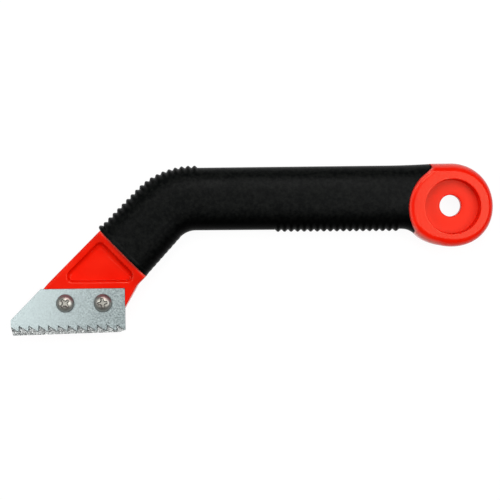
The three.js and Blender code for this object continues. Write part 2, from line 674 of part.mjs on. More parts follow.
function bladeGeometry(outline, low) {
  const corners = outline.map(([u, w, r]) => [...onBlade(u, w), r]);
  return plate(bladeHoles(roundedShape(corners, 3)), low, low + BLADE_THICKNESS, 10);
}

// Screws and nuts, each made about its own axis with the head's underside at height 0

function crossRecess() {
  const top = SCREW_HEAD_HEIGHT + OVERCUT;
  const floor = SCREW_HEAD_HEIGHT - CROSS_DEPTH;
  const half = CROSS_WIDTH / 2;
  const left = [[-half, top], [-half, SCREW_HEAD_HEIGHT], [-half / 3, floor]];
  const right = left.map(([x, y]) => [-x, y]).reverse();
  const arm = shapeFrom([...left, ...right]);
  const blade = solidOf(plate(arm, -CROSS_ARM / 2, CROSS_ARM / 2).rotateX(Math.PI / 2));
  return blade.add(blade.rotate([0, 0, 90]));
}

function screwSolid() {
  const head = SCREW_HEAD_DIAMETER / 2;
  const shank = SCREW_DIAMETER / 2;
  const end = -SCREW_LENGTH;
  const profile = [[0, end], [shank - SCREW_POINT, end], [shank, end + SCREW_POINT], [shank, 0], [head, 0]];
  const dome = SCREW_HEAD_HEIGHT - SCREW_HEAD_RIM;
  const steps = 6;
  for (let i = 0; i < steps; i++) {
    const a = (i / steps) * (Math.PI / 2);
    profile.push([head * Math.cos(a), SCREW_HEAD_RIM + dome * Math.sin(a)]);
  }
  profile.push([0, SCREW_HEAD_HEIGHT]);
  return solidOf(turned(profile, 28)).subtract(crossRecess());
}

function nutSolid() {
  const flat = NUT_WIDTH / 2;
  const corner = flat / Math.cos(Math.PI / 6);
  const chamfer = (corner - flat) / 2;
  const lower = [[0, 0], [flat, 0], [corner, chamfer]];
  const upper = lower.map(([r, z]) => [r, NUT_THICKNESS - z]).reverse();
  const envelope = turned([...lower, ...upper], 24);
  const bore = cylinder(SCREW_DIAMETER / 2 + NUT_BORE_CLEARANCE, -OVERCUT, NUT_THICKNESS + OVERCUT, 24);
  return solidOf(plate(hexagon(NUT_WIDTH), 0, NUT_THICKNESS)).intersect(solidOf(envelope)).subtract(bore);
}

// Assembly

const redPlastic = new THREE.MeshStandardMaterial({ color: 0xf5301c, roughness: 0.42, metalness: 0 });
const blackRubber = new THREE.MeshStandardMaterial({ color: 0x1c1d1b, roughness: 0.72, metalness: 0 });
const zincSteel = new THREE.MeshStandardMaterial({ color: 0xb4c2c4, roughness: 0.42, metalness: 0.85 });
const gritSteel = new THREE.MeshStandardMaterial({ color: 0x8f9695, roughness: 0.75, metalness: 0.6 });
const nickel = new THREE.MeshStandardMaterial({ color: 0xc9c2b4, roughness: 0.25, metalness: 1 });

const saw = new THREE.Group();

function addPiece(name, geometry, material, x = 0, y = 0, z = 0, turn = 0) {
  const mesh = new THREE.Mesh(geometry, material);
  mesh.name = name;
  mesh.position.set(x, y, z);
  mesh.rotation.z = rad(turn);
  saw.add(mesh);
}

const BLADE_TOP = SEAT_FLOOR + 2 * (FACE_GAP + BLADE_THICKNESS);
addPiece("handle_core", geometryOf(handleCore()), redPlastic);
addPiece("grip_sleeve", geometryOf(gripSleeve()), blackRubber);
addPiece("grit_blade", bladeGeometry(gritOutline(), SEAT_FLOOR + FACE_GAP), gritSteel);
addPiece("toothed_blade", bladeGeometry(toothedOutline(), BLADE_TOP - BLADE_THICKNESS), zincSteel);

const screwGeometry = geometryOf(screwSolid());
const nutGeometry = geometryOf(nutSolid());
const SCREW_TURNS = [43, 8]; // how far each cross has come round when tight
["toe", "heel"].forEach((end, i) => {
  const [x, y] = SCREW_PLACES[i];
  addPiece(`blade_screw_${end}`, screwGeometry, nickel, x, y, BLADE_TOP + FACE_GAP, SCREW_TURNS[i]);
  addPiece(`blade_nut_${end}`, nutGeometry, nickel, x, y, -NOSE_HALF + NUT_INSET);
});

// The part's own origin is on the surface that the tool lies on, under the middle of its box.
const box = new THREE.Box3().setFromObject(saw, true);
const middle = box.getCenter(new THREE.Vector3());
saw.position.set(-middle.x, -middle.y, -box.min.z);

export default saw;
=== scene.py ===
"""Dresses the grout saw: smooth moulded forms, rubbed and plated finishes with painted light and shade, a
soft studio and the camera.
"""

import math

import bmesh
import bpy
import numpy as np
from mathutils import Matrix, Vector


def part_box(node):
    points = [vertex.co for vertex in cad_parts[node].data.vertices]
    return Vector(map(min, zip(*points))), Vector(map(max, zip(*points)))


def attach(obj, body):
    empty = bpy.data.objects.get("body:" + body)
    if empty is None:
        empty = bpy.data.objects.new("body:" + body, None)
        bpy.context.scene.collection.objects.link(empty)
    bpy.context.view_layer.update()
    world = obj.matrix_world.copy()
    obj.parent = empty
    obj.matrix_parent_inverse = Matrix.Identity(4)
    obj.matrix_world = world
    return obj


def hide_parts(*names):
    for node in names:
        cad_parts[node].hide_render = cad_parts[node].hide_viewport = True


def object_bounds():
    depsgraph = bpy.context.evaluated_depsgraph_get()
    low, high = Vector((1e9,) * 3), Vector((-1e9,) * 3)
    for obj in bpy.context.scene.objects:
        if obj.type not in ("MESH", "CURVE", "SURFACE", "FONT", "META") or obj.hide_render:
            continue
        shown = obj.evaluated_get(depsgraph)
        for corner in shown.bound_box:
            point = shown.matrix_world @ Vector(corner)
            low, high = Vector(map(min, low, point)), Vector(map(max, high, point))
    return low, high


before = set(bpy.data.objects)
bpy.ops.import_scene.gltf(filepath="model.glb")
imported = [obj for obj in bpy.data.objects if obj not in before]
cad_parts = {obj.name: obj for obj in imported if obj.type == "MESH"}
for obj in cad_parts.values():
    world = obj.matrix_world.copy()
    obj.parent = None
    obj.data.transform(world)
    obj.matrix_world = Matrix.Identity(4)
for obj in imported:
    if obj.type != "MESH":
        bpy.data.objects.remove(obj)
cad_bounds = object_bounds()

MM = 0.001

# Sizes of the tool in millimetres, measured from the centre of the hanging hole,
# halfway through the thickness: X towards the eye, Y up the tool, Z out of the blades' side.

EYE_RADIUS = 18.4
EYE_RISE = 0.1
EYE_HALF = 9.5
EYE_FLATS = ((math.radians(8), 0.2), (math.radians(-38), -0.14), (math.radians(-90), 0.38))
EYE_FLAT_SHARPNESS = 8
EYE_EDGE_WIDTHS = (3.5, 2.5)
EYE_EDGE_WIDTH_POWER = 1.5
EYE_EDGE_DEPTH = 6.5
EYE_EDGE_CREASE = (0.1, 0.2)
EYE_EDGE_FULLNESS = (2.6, 2.3)
EYE_EDGE_SHAPE_POWER = 2
EYE_OUTLINE_FROM = -26.0
SEAM_HEIGHTS = (-14.5, 18.3)
SEAM_WIDTH = 2.6
SEAM_DROP = 0.55
SEAM_EDGE_WIDTH = 0.5
SEAM_EDGE_DROP = 0.9
SEAM_BEAD_AT = 0.65
SEAM_BEAD_WIDTH = 0.45
SEAM_BEAD_RISE = 0.27
# Paler red beside the seam, partly from rubbing and partly a painted highlight: its width, the depths below
# the hole over which it grows to full, and the share it keeps higher up
SEAM_WEAR_AND_SHEEN_WIDTH = 1.5
SEAM_WEAR_AND_SHEEN_FROM = (7.5, 11.0)
SEAM_WEAR_AND_SHEEN_SHARE = 0.28
# Painted highlight along the eye's rolled edges: its width, its stretches by direction in degrees (start,
# full, fading, end, share), the heights from the middle over which it grows; then how steeply both marks
# rise beside their lines
EDGE_SHEEN_WIDTH = 2.2
EDGE_SHEENS = ((-150.0, -140.0, -118.0, -98.0, 1.0), (50.0, 85.0, 125.0, 130.0, 0.5))
EDGE_SHEEN_HEIGHTS = (3.0, 5.0)
MARK_STEEPNESS = 1.5
RECESS_RADIUS = 12.0
RECESS_CENTRE = (0.3, -0.3)
RECESS_DRAFT = 0.1
RECESS_FILLET = 0.4
RECESS_FOOT = RECESS_RADIUS - RECESS_DRAFT - RECESS_FILLET
RECESS_RIM = 0.2
EYE_WEB = 5.0
HOLE_RADIUS = 4.72
HOLE_RIM = 0.5
WEB_RINGS = (7.0, 9.0)
HOLLOW_MARGIN = 1.0

NECK_TURN_X = -22.0
NECK_STEEP = (-15.5, -12.5, -0.93)
NECK_JOIN_ANGLE = math.radians(-101)
SLEEVE_END_RADIUS = 18.4
SLEEVE_END_CENTRE = (-0.5, -0.8)
SLEEVE_FOOT = (-15.95, -10.8)
SLEEVE_LOBE = (-11.15, 14.2)
SLEEVE_TIP = (-8.1, 16.95)
SLEEVE_TOP = (-9.7, 18.4)
SLEEVE_LOBE_ROUNDING = 1.0
SLEEVE_END_GAP = 0.06
NECK_START = 0.2
NECK_LAST_SHARE = 0.985
NECK_TUCK = 0.2

BACK_HEIGHT = 17.95
BACK_TAPER = math.radians(0.66)
BACK_FLARE = 0.55
BACK_FLARE_LENGTH = 21.0
BACK_FLARE_END = -8.0
BELLY_DROP = 10.01
BELLY_TAPER = math.radians(0.43)
BACK_BEND_AT = 113.8
BACK_BEND_RADIUS = 33.0
BACK_SLANT = math.radians(46)
BACK_SLANT_LENGTH = 23.7
BELLY_BEND_AT = 111.6
BELLY_CATCH_UP = 30.0
BELLY_BEND_RADIUS = 9.8
BELLY_SLANT = math.radians(48.4)
BELLY_SLANT_LENGTH = 22.1

SLEEVE_HALF = 9.2
SLEEVE_ROUNDNESS = 2.8
RIB_RISE = 0.95
RIB_GULLET = 0.05
RIB_FULLNESS = 0.75
RIB_PITCH = 2.82
RIB_FADE = (0.6, 0.92)
BACK_RIBS_FROM = 1.95
BACK_RIB_LENGTH = 50.8
BELLY_SLANT_RIB_SHARE = 0.14
BELLY_RIBS = (-77.0, -22.4)
PLAIN_MARGIN = 0.5
COLLAR_RISE = 0.12
COLLAR_BEAD_RISE = 1.3
COLLAR_GAP = 0.05
COLLAR_BEAD_START = 0.14
COLLAR_BEAD_FULLNESS = 0.6
COLLAR_FALL_FROM = 0.7

NOSE_HALF = 6.0
NOSE_BACK_ANGLE = math.radians(45.5)
NOSE_BACK_INSET = 0.4
NOSE_TOE_EASE = 3.5
NOSE_EASE_RADIUS = 6.0
NOSE_DEPTH = 49.5
NOSE_HEEL_DROP = 5.2
NOSE_BELLY_RISE = 0.25
NOSE_HEEL_ANGLE = math.radians(61)
NOSE_CORNER = 3.0
NOSE_EDGE = 0.9
NOSE_SETBACK = 1.1
NOSE_TUCK = 1.0
NOSE_TUCK_INSET = 2.4
PANEL_DEPTH = 3.0
PANEL_LIP = 0.5
PANEL_LIP_SEAT = 1.3
PANEL_DRAFT = 0.1
PANEL_FILLET = 1.6
PANEL_FILLET_SLEEVE = 2.6
PANEL_FILLET_SEAT = 0.15
PANEL_FILLET_APEX = 2.6
PANEL_BORDER_BACK = 3.4
PANEL_BORDER_SLEEVE = 3.1
PANEL_BORDER_SEAT = 3.4
PANEL_CORNER = 2.3
LIP_OFFSET = 0.35
LIP_INSET = 0.9
LIP_WIDTH = 0.6
LIP_HEIGHT = 0.3
# Painted highlight on the nose's rim by the sleeve and painted shadow of the sleeve over the red, in mm from
# the sleeve: (distance, share of pale red) and (distance, tone)
LIP_SHEENS = ((0.6, 0.55), (1.0, 0.0))
SHADE_REACH = 8.0
SHADE_TONES = ((0.0, 1.0), (0.9, 1.0), (2.1, 0.86), (2.7, 0.83), (5.0, 0.88), (8.0, 1.0))

BLADE_THICKNESS = 1.2
BLADE_GAP = 0.05
SEAT_GAP = 0.07
BLADE_LENGTH = 49.99
BLADE_BACK_LENGTH = 36.8
BLADE_TOE_HEIGHT = 13.4
BLADE_CORNER = 0.6
BLADE_EDGE = 0.22
BLADE_HEEL = (-142.5, -36.0)
GULLET_HEIGHT = 16.0
TOOTH_DEPTH = 2.6
TOOTH_PITCH = 4.27
TOOTH_RAKE = 0.25
FIRST_TIP = 3.9
GRIT_TOE_HEIGHT = 20.3
GRIT_HEEL_HEIGHT = 19.1
GRIT_TOE_CHAMFER = 0.9
GRIT_HEEL_CHAMFER = 2.4
GRIT_HEEL_CUT = 0.96
GRIT_TOE_CUT = 3.6
GRIT_BAND = (0.775, 0.79)
GRAIN_SIZE = 0.42
GRAIN_HEIGHTS = (0.3, 0.12)
GRAIN_TALLNESS = (0.35, 1.0)
GRAIN_STEEPNESS = 1.6
GRAIN_MARGIN = 0.06
GRAIN_SEEDS = (1, 2)

SCREW_FROM_HEEL = 9.6
SCREW_PITCH = 16.4
SCREW_FROM_BACK = 6.3
SCREW_HEAD_RADIUS = 4.0
SCREW_HEAD_HEIGHT = 2.6
SCREW_HEAD_RIM = 0.55
SCREW_HEAD_EDGE = 0.12
SCREW_DOME_POWER = 2.2
SCREW_RADIUS = 1.95
SCREW_POINT = 0.5
SCREW_HOLE_GAP = 0.3
SCREW_LENGTH = 12.0
SCREW_TURNS = {"toe": math.radians(43), "heel": math.radians(8)}
CROSS_REACH = 2.15
CROSS_ARM = 0.55
CROSS_CORE = 1.15
CROSS_DRAFT = 0.28
CROSS_DEPTH = 1.1
CROSS_BARS = (
    (CROSS_REACH, CROSS_ARM, 0.0),
    (CROSS_REACH, CROSS_ARM, math.pi / 2),
    (CROSS_CORE, CROSS_CORE, math.pi / 4),
)
NUT_WIDTH = 7.0
NUT_THICKNESS = 3.2
NUT_EDGE = 0.35
NUT_INSET = 0.4
NUT_BORE_GAP = 0.2
NUT_POCKET_GAP = 0.5
NUT_POCKET_REST = 0.05

# How far the cutting tools reach past the piece
CUTTER_MARGIN = 2.0
CROSS_MARGIN = 0.1

# How finely curved forms are divided, how near points join, and the least angle of a sharp edge
SECTION_POINTS = 96
STEPS_PER_RIB = 12
COLLAR_STEPS = 12
PLAIN_STEPS = 30
NECK_STEPS = 26
OUTLINE_POINTS = 120
EYE_ARC_POINTS = 400
SEAM_POINTS = 160
EYE_DIRECTIONS = 288
EYE_ROWS = 30
EYE_ROW_CROWDING = 1.7
GRIT_COLUMNS = 334
GRIT_ROWS = np.concatenate([np.linspace(0, 0.76, 10), np.linspace(0.77, 1, 32)])
DOME_STEPS = 34
JOIN_DISTANCE = 1e-4
SHARP_ANGLE = 40
METAL_SHARP_ANGLE = 50
RIB_SHARP_ANGLE = 60

# The hole's centre in the shared frame, in metres, from the core's own box.
core_low, core_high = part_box("handle_core")
ORIGIN = np.array([
    core_high.x - EYE_RADIUS * MM,
    core_high.y - (EYE_RISE + EYE_RADIUS) * MM,
    (core_low.z + core_high.z) / 2,
])


# Small geometry helpers

def unit(v):
    return v / np.linalg.norm(v, axis=-1, keepdims=True)


def heading(angle):
    """The direction that falls towards -X at this angle."""
    return np.array([-math.cos(angle), -math.sin(angle)])


def crossing(p, angle_p, q, angle_q):
    """Where the line through p crosses the line through q."""
    t, _ = np.linalg.solve(np.stack([heading(angle_p), -heading(angle_q)], 1), np.subtract(q, p))
    return p + t * heading(angle_p)


def smoothstep(x, low, high):
    t = np.clip((x - low) / (high - low), 0, 1)
    return t * t * (3 - 2 * t)


def between(low, high, share):
    """The value at this share of the way from low to high."""
    return low + (high - low) * share


def rounded(corners, steps=6):
    """A closed outline with rounded corners, from (x, y, radius)."""
    points = []
    for i, (x, y, radius) in enumerate(corners):
        here = np.array([x, y])
        if not radius:
            points.append(here)
            continue
        back = unit(np.subtract(corners[i - 1][:2], here))
        on = unit(np.subtract(corners[(i + 1) % len(corners)][:2], here))
        half = math.acos(np.clip(back @ on, -1, 1)) / 2
        centre = here + unit(back + on) * radius / math.sin(half)
        start = here + back * radius / math.tan(half) - centre
        end = here + on * radius / math.tan(half) - centre
        from_angle = math.atan2(start[1], start[0])
        sweep = (math.atan2(end[1], end[0]) - from_angle + math.pi) % (2 * math.pi) - math.pi
        for k in range(steps + 1):
            a = from_angle + sweep * k / steps
            points.append(centre + radius * np.array([math.cos(a), math.sin(a)]))
    loop = np.array(points)
    area = np.sum(loop[:, 0] * np.roll(loop[:, 1], -1) - loop[:, 1] * np.roll(loop[:, 0], -1))
    return loop if area > 0 else loop[::-1]


def circle(x, y, radius, count=48):
    a = np.arange(count) / count * 2 * math.pi
    return np.stack([x + radius * np.cos(a), y + radius * np.sin(a)], 1)


def inset(loop, distance):
    """The counter-clockwise outline moved inwards by distance."""
    before = unit(loop - np.roll(loop, 1, 0))
    after = unit(np.roll(loop, -1, 0) - loop)
    n1 = np.stack([-before[:, 1], before[:, 0]], 1)
    n2 = np.stack([-after[:, 1], after[:, 0]], 1)
    return loop + distance * (n1 + n2) / (1 + np.sum(n1 * n2, 1, keepdims=True))


def quarter(radius, steps=4):
    """(distance from the face, distance from the wall) round a convex edge, from wall to face."""
    angles = np.linspace(0, math.pi / 2, steps + 1)
    return [(radius * (1 - math.sin(a)), radius * (1 - math.cos(a))) for a in angles]


# Mesh helpers: every mesh is made in tool millimetres and moved to the shared frame once

def add_object(name, data):
    obj = bpy.data.objects.new(name, data)
    bpy.context.collection.objects.link(obj)
    return obj


def to_object(name, bm, finish, sharp=SHARP_ANGLE):
    bmesh.ops.remove_doubles(bm, verts=bm.verts, dist=JOIN_DISTANCE)
    bmesh.ops.recalc_face_normals(bm, faces=bm.faces)
    for vert in bm.verts:
        vert.co = Vector(np.array(vert.co) * MM + ORIGIN)
    mesh = bpy.data.meshes.new(name)
    bm.to_mesh(mesh)
    bm.free()
    mesh.shade_smooth()
    mesh.set_sharp_from_angle(angle=math.radians(sharp))
    mesh.materials.append(finish)
    return add_object(name, mesh)


def add_loop(bm, loop, z):
    return [bm.verts.new((x, y, height)) for (x, y), height in zip(loop, np.broadcast_to(z, len(loop)))]


def bridge(bm, lower, upper):
    for i in range(len(lower)):
        j = (i + 1) % len(lower)
        bm.faces.new((lower[i], lower[j], upper[j], upper[i]))


def skin(bm, loops):
    """Faces from each loop to the next."""
    for lower, upper in zip(loops, loops[1:]):
        bridge(bm, lower, upper)


def edges_of(bm, loop):
    """The edges round a loop, made where they are missing."""
    pairs = [(loop[i - 1], loop[i]) for i in range(len(loop))]
    return [bm.edges.get(pair) or bm.edges.new(pair) for pair in pairs]


def fill(bm, loops):
    edges = [e for loop in loops for e in edges_of(bm, loop)]
    bmesh.ops.triangle_fill(bm, use_beauty=True, edges=edges)


def close(bm, lower, upper):
    """A skin between two loops, filled at both ends."""
    bridge(bm, lower, upper)
    fill(bm, [lower])
    fill(bm, [upper])


def sunk_profile(lip, draft, depth, fillet):
    """(inset, depth) at each outline point, from a sunk panel's border over its lip down to its floor."""
    over = [(-face, wall) for face, wall in quarter(lip, 5)]
    foot = [(draft + wall, depth - face) for face, wall in quarter(fillet, 5)]
    return over + foot


def add_plate(bm, outline, low, high, edge, holes=(), panel=None, sunk=()):
    """A plate with rolled edges, through holes, and a panel sunk into both faces."""
    profile = [(d, low + a) for a, d in quarter(edge)][::-1] + [(d, high - a) for a, d in quarter(edge)]
    rows = [add_loop(bm, inset(outline, d), z) for d, z in profile]
    skin(bm, rows)
    bottom, top = [rows[0]], [rows[-1]]
    for hole in holes:
        under, over = add_loop(bm, hole, low), add_loop(bm, hole, high)
        bridge(bm, under, over)
        bottom.append(under)
        top.append(over)
    for face, sign, border in ((high, -1, top), (low, 1, bottom)) if sunk else ():
        levels = [add_loop(bm, inset(panel, d[:, None]), face + sign * down) for d, down in sunk]
        skin(bm, levels)
        fill(bm, [levels[-1]])
        border.append(levels[0])
    fill(bm, bottom)
    fill(bm, top)


def add_ladder_tube(bm, rings):
    """A closed skin through rings whose point j faces point n-1-j across the thickness."""
    rows = [[bm.verts.new(p) for p in ring] for ring in rings]
    skin(bm, rows)
    count = len(rows[0])
    for row in (rows[0], rows[-1]):
        for j in range(count // 2 - 1):
            bm.faces.new((row[j], row[j + 1], row[count - 2 - j], row[count - 1 - j]))


def turned(bm, profile, centre, count=96):
    """A solid of revolution about Z through (radius, z) from pole to pole."""
    rows = [add_loop(bm, circle(*centre, radius, count), z) for radius, z in profile[1:-1]]
    skin(bm, rows)
    for row, (_, z) in ((rows[0], profile[0]), (rows[-1], profile[-1])):
        pole = bm.verts.new((*centre, z))
        for i in range(count):
            bm.faces.new((row[i - 1], row[i], pole))


def combine(obj, others, operation):
    """obj with the others' volumes added or taken away."""
    for other in others:
        modifier = obj.modifiers.new("combine", "BOOLEAN")
        modifier.operation = operation
        modifier.solver = "EXACT"
        modifier.object = other
    bpy.context.view_layer.update()
    evaluated = obj.evaluated_get(bpy.context.evaluated_depsgraph_get())
    mesh = bpy.data.meshes.new_from_object(evaluated)
    obj.modifiers.clear()
    obj.data = mesh
    for other in others:
        bpy.data.objects.remove(other)
    mesh.set_sharp_from_angle(angle=math.radians(SHARP_ANGLE))
    return obj


def finish_piece(obj, node, weighted=True):
    if weighted:
        modifier = obj.modifiers.new("normals", "WEIGHTED_NORMAL")
        modifier.keep_sharp = True
    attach(obj, "root")
    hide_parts(node)


# Finishes

def put(tree, socket, value):
    """Links another node's output to the socket, or sets a plain value on it."""
    if hasattr(value, "links"):
        tree.links.new(value, socket)
    else:
        socket.default_value = value


def feed(tree, node, **sockets):
    """Puts values or outputs on a node's sockets, each named with _ for a space."""
    for name, value in sockets.items():
        put(tree, node.inputs[name.replace("_", " ")], value)


def material(name):
    made = bpy.data.materials.new(name)
    made.use_nodes = True
    return made, made.node_tree, made.node_tree.nodes["Principled BSDF"]


def texture(tree, kind, scale, output="Fac", **sockets):
    """A procedural texture in the piece's own coordinates, scale in cells per metre."""
    place = tree.nodes.new("ShaderNodeTexCoord")
    node = tree.nodes.new(kind)
    feed(tree, node, Vector=place.outputs["Object"], Scale=scale, **sockets)
    return node.outputs[output]


def noise(tree, scale, **sockets):
    return texture(tree, "ShaderNodeTexNoise", scale, **sockets)


def ramp(tree, source, stops):
    node = tree.nodes.new("ShaderNodeValToRGB")
    feed(tree, node, Fac=source)
    elements = node.color_ramp.elements
    while len(elements) < len(stops):
        elements.new(0.5)
    for element, (position, colour) in zip(elements, stops):
        element.position = position
        element.color = (*colour, 1)
    return node.outputs["Color"]


def bump(tree, shader, source, distance, strength):
    """Adds a relief to the shader, over any that it has; distance is in millimetres."""
    node = tree.nodes.new("ShaderNodeBump")
    feed(tree, node, Distance=distance * MM, Strength=strength, Height=source)
    for link in shader.inputs["Normal"].links:
        feed(tree, node, Normal=link.from_socket)
    feed(tree, shader, Normal=node.outputs["Normal"])


def math_node(tree, operation, *values):
    node = tree.nodes.new("ShaderNodeMath")
    node.operation = operation
    for socket, value in zip(node.inputs, values):
        put(tree, socket, value)
    return node.outputs[0]


def blend(tree, base, over, share=1, how="MIX"):
    """One colour mixed or multiplied over another by share; each is a node's output or a plain value."""
    node = tree.nodes.new("ShaderNodeMix")
    node.data_type = "RGBA"
    node.blend_type = how
    feed(tree, node, Factor=share, A=base, B=over)
    return node.outputs["Result"]


def along(tree, kind, direction):
    """How far each point lies (kind Object) or faces (kind Normal) along a direction."""
    place = tree.nodes.new("ShaderNodeTexCoord")
    node = tree.nodes.new("ShaderNodeVectorMath")
    node.operation = "DOT_PRODUCT"
    put(tree, node.inputs[0], place.outputs[kind])
    put(tree, node.inputs[1], direction)
    return node.outputs["Value"]


def smooth_range(tree, source, low, high, start=0.0, end=1.0):
    """Goes smoothly from start to end while source goes from low to high."""
    node = tree.nodes.new("ShaderNodeMapRange")
    node.interpolation_type = "SMOOTHSTEP"
    feed(tree, node, Value=source, From_Min=low, From_Max=high, To_Min=start, To_Max=end)
    return node.outputs["Result"]


def painted(tree, name):
    """How strongly each point of the mesh carries a named mark, 0 to 1."""
    node = tree.nodes.new("ShaderNodeAttribute")
    node.attribute_name = name
    return node.outputs["Fac"]


def grey(value):
    return (value, value, value)


def uneven(tree, source, low, high):
    """A grey from low to high over the middle of a texture's range."""
    return ramp(tree, source, [(0.3, grey(low)), (0.7, grey(high))])


# Colours are linear red, green and blue. A ramp's stop is (position, colour).
# The red's clouds: a share of the moulding's own red, with the green and the blue
RED_CLOUDS = ((0.95, 0.006, 0.0003), (1.05, 0.01, 0.0008))
# The pale red of rubbing and of painted highlights, on the eye and on the nose's rim
WEAR_AND_SHEEN_RED = (0.82, 0.13, 0.1, 1.0)
# Painted shade in the eye's hollow: its red darkened a little, its green and blue raised a little; the
# hollow is also rougher
HOLLOW_SHADE = (0.95, 1.1, 1.1, 1.0)
HOLLOW_ROUGHNESS = 0.18


def red_plastic(name, red, scratch):
    """Glossy red moulding, faintly clouded, with a fine grain and scratches, paled by rubbing and painted
    highlight where marked and darkened by painted shade in the eye's hollow; scratch is in mm.
    """
    made, tree, shader = material(name)
    cloud = noise(tree, 90, Detail=4.0)
    dark, light = ((red * share, green, blue) for share, green, blue in RED_CLOUDS)
    unmarked = ramp(tree, cloud, [(0.3, dark), (0.7, light)])
    # Paler where the mesh is marked: rubbing and painted highlight
    pale_wear_and_sheen = blend(tree, unmarked, WEAR_AND_SHEEN_RED, painted(tree, "wear_and_sheen"))
    hollow = painted(tree, "hollow")
    rough = math_node(tree, "MULTIPLY_ADD", hollow, HOLLOW_ROUGHNESS, uneven(tree, cloud, 0.18, 0.26))
    feed(tree, shader, Base_Color=blend(tree, pale_wear_and_sheen, HOLLOW_SHADE, hollow, "MULTIPLY"), Roughness=rough)
    feed(tree, shader, Specular_IOR_Level=0.23, Specular_Tint=(1, 0.85, 0.55, 1))
    bump(tree, shader, noise(tree, 2600, Detail=3.0), 0.01, 0.5)
    bump(tree, shader, texture(tree, "ShaderNodeTexWave", 160, Distortion=9.0, Detail=4.0), scratch, 0.6)
    return made


RUBBER_TONES = ((0.4, (0.0002, 0.0006, 0.0006)), (0.66, (0.0062, 0.0069, 0.0062)))
# How far a face turns down and up the tool where the painted shade is darkest and gone, and the share of
# colour and shine left at each
UNDERSIDE_SHADE = (-0.52, 0.0, 0.14, 1.0)
RUBBER_SHINE = (0.024, 0.034)


def black_rubber():
    """Matt black rubber with dust in its pores, darkened with painted shade and given less shine on faces
    turned down the tool.
    """
    made, tree, shader = material("black_rubber")
    dust = noise(tree, 620, Detail=6.0, Roughness=0.65)
    cloud = noise(tree, 120, Detail=6.0, Roughness=0.65)
    # Painted shade: faces turned down the tool keep less of their colour and shine
    left = smooth_range(tree, along(tree, "Normal", (0, 1, 0)), *UNDERSIDE_SHADE)
    base_shine, added_shine = RUBBER_SHINE
    shine = math_node(tree, "MULTIPLY_ADD", left, added_shine, base_shine)
    feed(tree, shader, Specular_IOR_Level=shine, Roughness=uneven(tree, cloud, 0.36, 0.46))
    feed(tree, shader, Base_Color=blend(tree, ramp(tree, dust, RUBBER_TONES), left, how="MULTIPLY"))
    bump(tree, shader, dust, 0.02, 0.8)
    return made


ZINC_TONES = ((0.0, (0.126, 0.15, 0.151)), (1.0, (0.64, 0.742, 0.746)))
# Where along the tool the painted sheen fades and the mottle grows; the mottle's contrast and the tone with
# its painted sheen at the toe, each with the heel's change
ZINC_TURN = (-190.0, -140.0)
ZINC_CONTRAST = (0.28, 1.55)
ZINC_TONE_AND_SHEEN = (0.77, -0.42)


def zinc_steel():
    """Zinc plate: even at the toe and mottled towards the heel, with a painted sheen that brightens it
    towards the toe.
    """
    made, tree, shader = material("zinc_steel")
    spangle = noise(tree, 1300, Detail=4.0, Roughness=0.7)
    start, end = (x * MM + ORIGIN[0] for x in ZINC_TURN)
    heel = smooth_range(tree, along(tree, "Object", (1, 0, 0)), start, end)
    contrast = math_node(tree, "MULTIPLY_ADD", heel, *ZINC_CONTRAST[::-1])
    mottle = math_node(tree, "MULTIPLY", math_node(tree, "SUBTRACT", spangle, 0.5), contrast)
    # The tone falls towards the heel: a painted sheen, lightest at the toe
    tone = math_node(tree, "ADD", mottle, math_node(tree, "MULTIPLY_ADD", heel, *ZINC_TONE_AND_SHEEN[::-1]))
    feed(tree, shader, Base_Color=ramp(tree, tone, ZINC_TONES), Metallic=0.9)
    feed(tree, shader, Roughness=uneven(tree, spangle, 0.36, 0.5))
    bump(tree, shader, spangle, 0.02, 0.5)
    return made


GRIT_TONES = ((0.2, (0.16, 0.17, 0.17)), (0.8, (0.62, 0.64, 0.63)))


def grit_steel():
    """Grey steel with a crust of light and dark carbide grains."""
    made, tree, shader = material("grit_steel")
    crust = ramp(tree, texture(tree, "ShaderNodeTexVoronoi", 2400, "Color"), GRIT_TONES)
    feed(tree, shader, Base_Color=crust, Metallic=0.7, Roughness=0.5)
    bump(tree, shader, texture(tree, "ShaderNodeTexVoronoi", 2400, "Distance"), 0.06, 0.8)
    return made


# Nickel's tones by how far a face turns out of the plate, with painted shade on the steep sides and the
# cross recess's walls
NICKEL_TONES = ((0.6, (0.29, 0.305, 0.297)), (0.88, (0.34, 0.337, 0.312)), (0.97, (0.415, 0.404, 0.358)))
NICKEL_CLOUDING = 0.08
# The side that mirrors the red nose, the tints of its painted pink reflection from the far side to that
# side, with painted shade dimming the highlight just short of it, and the tint's strength: none on the
# recess's steep walls and full on the head
PAINTED_REFLECTION_SIDE = (0.3, 0.95, 0.0)
PAINTED_REFLECTION_TINTS = (
    (0.2, (0.94, 1.0, 1.0)),
    (0.4, (1.0, 1.0, 1.0)),
    (0.56, (1.0, 1.0, 1.0)),
    (0.62, (0.84, 0.81, 0.81)),
    (0.68, (0.96, 0.72, 0.74)),
    (0.79, (1.0, 0.5, 0.56)),
    (0.92, (1.0, 0.62, 0.68)),
)
PAINTED_REFLECTION_STRENGTH = (6.0, -2.0)


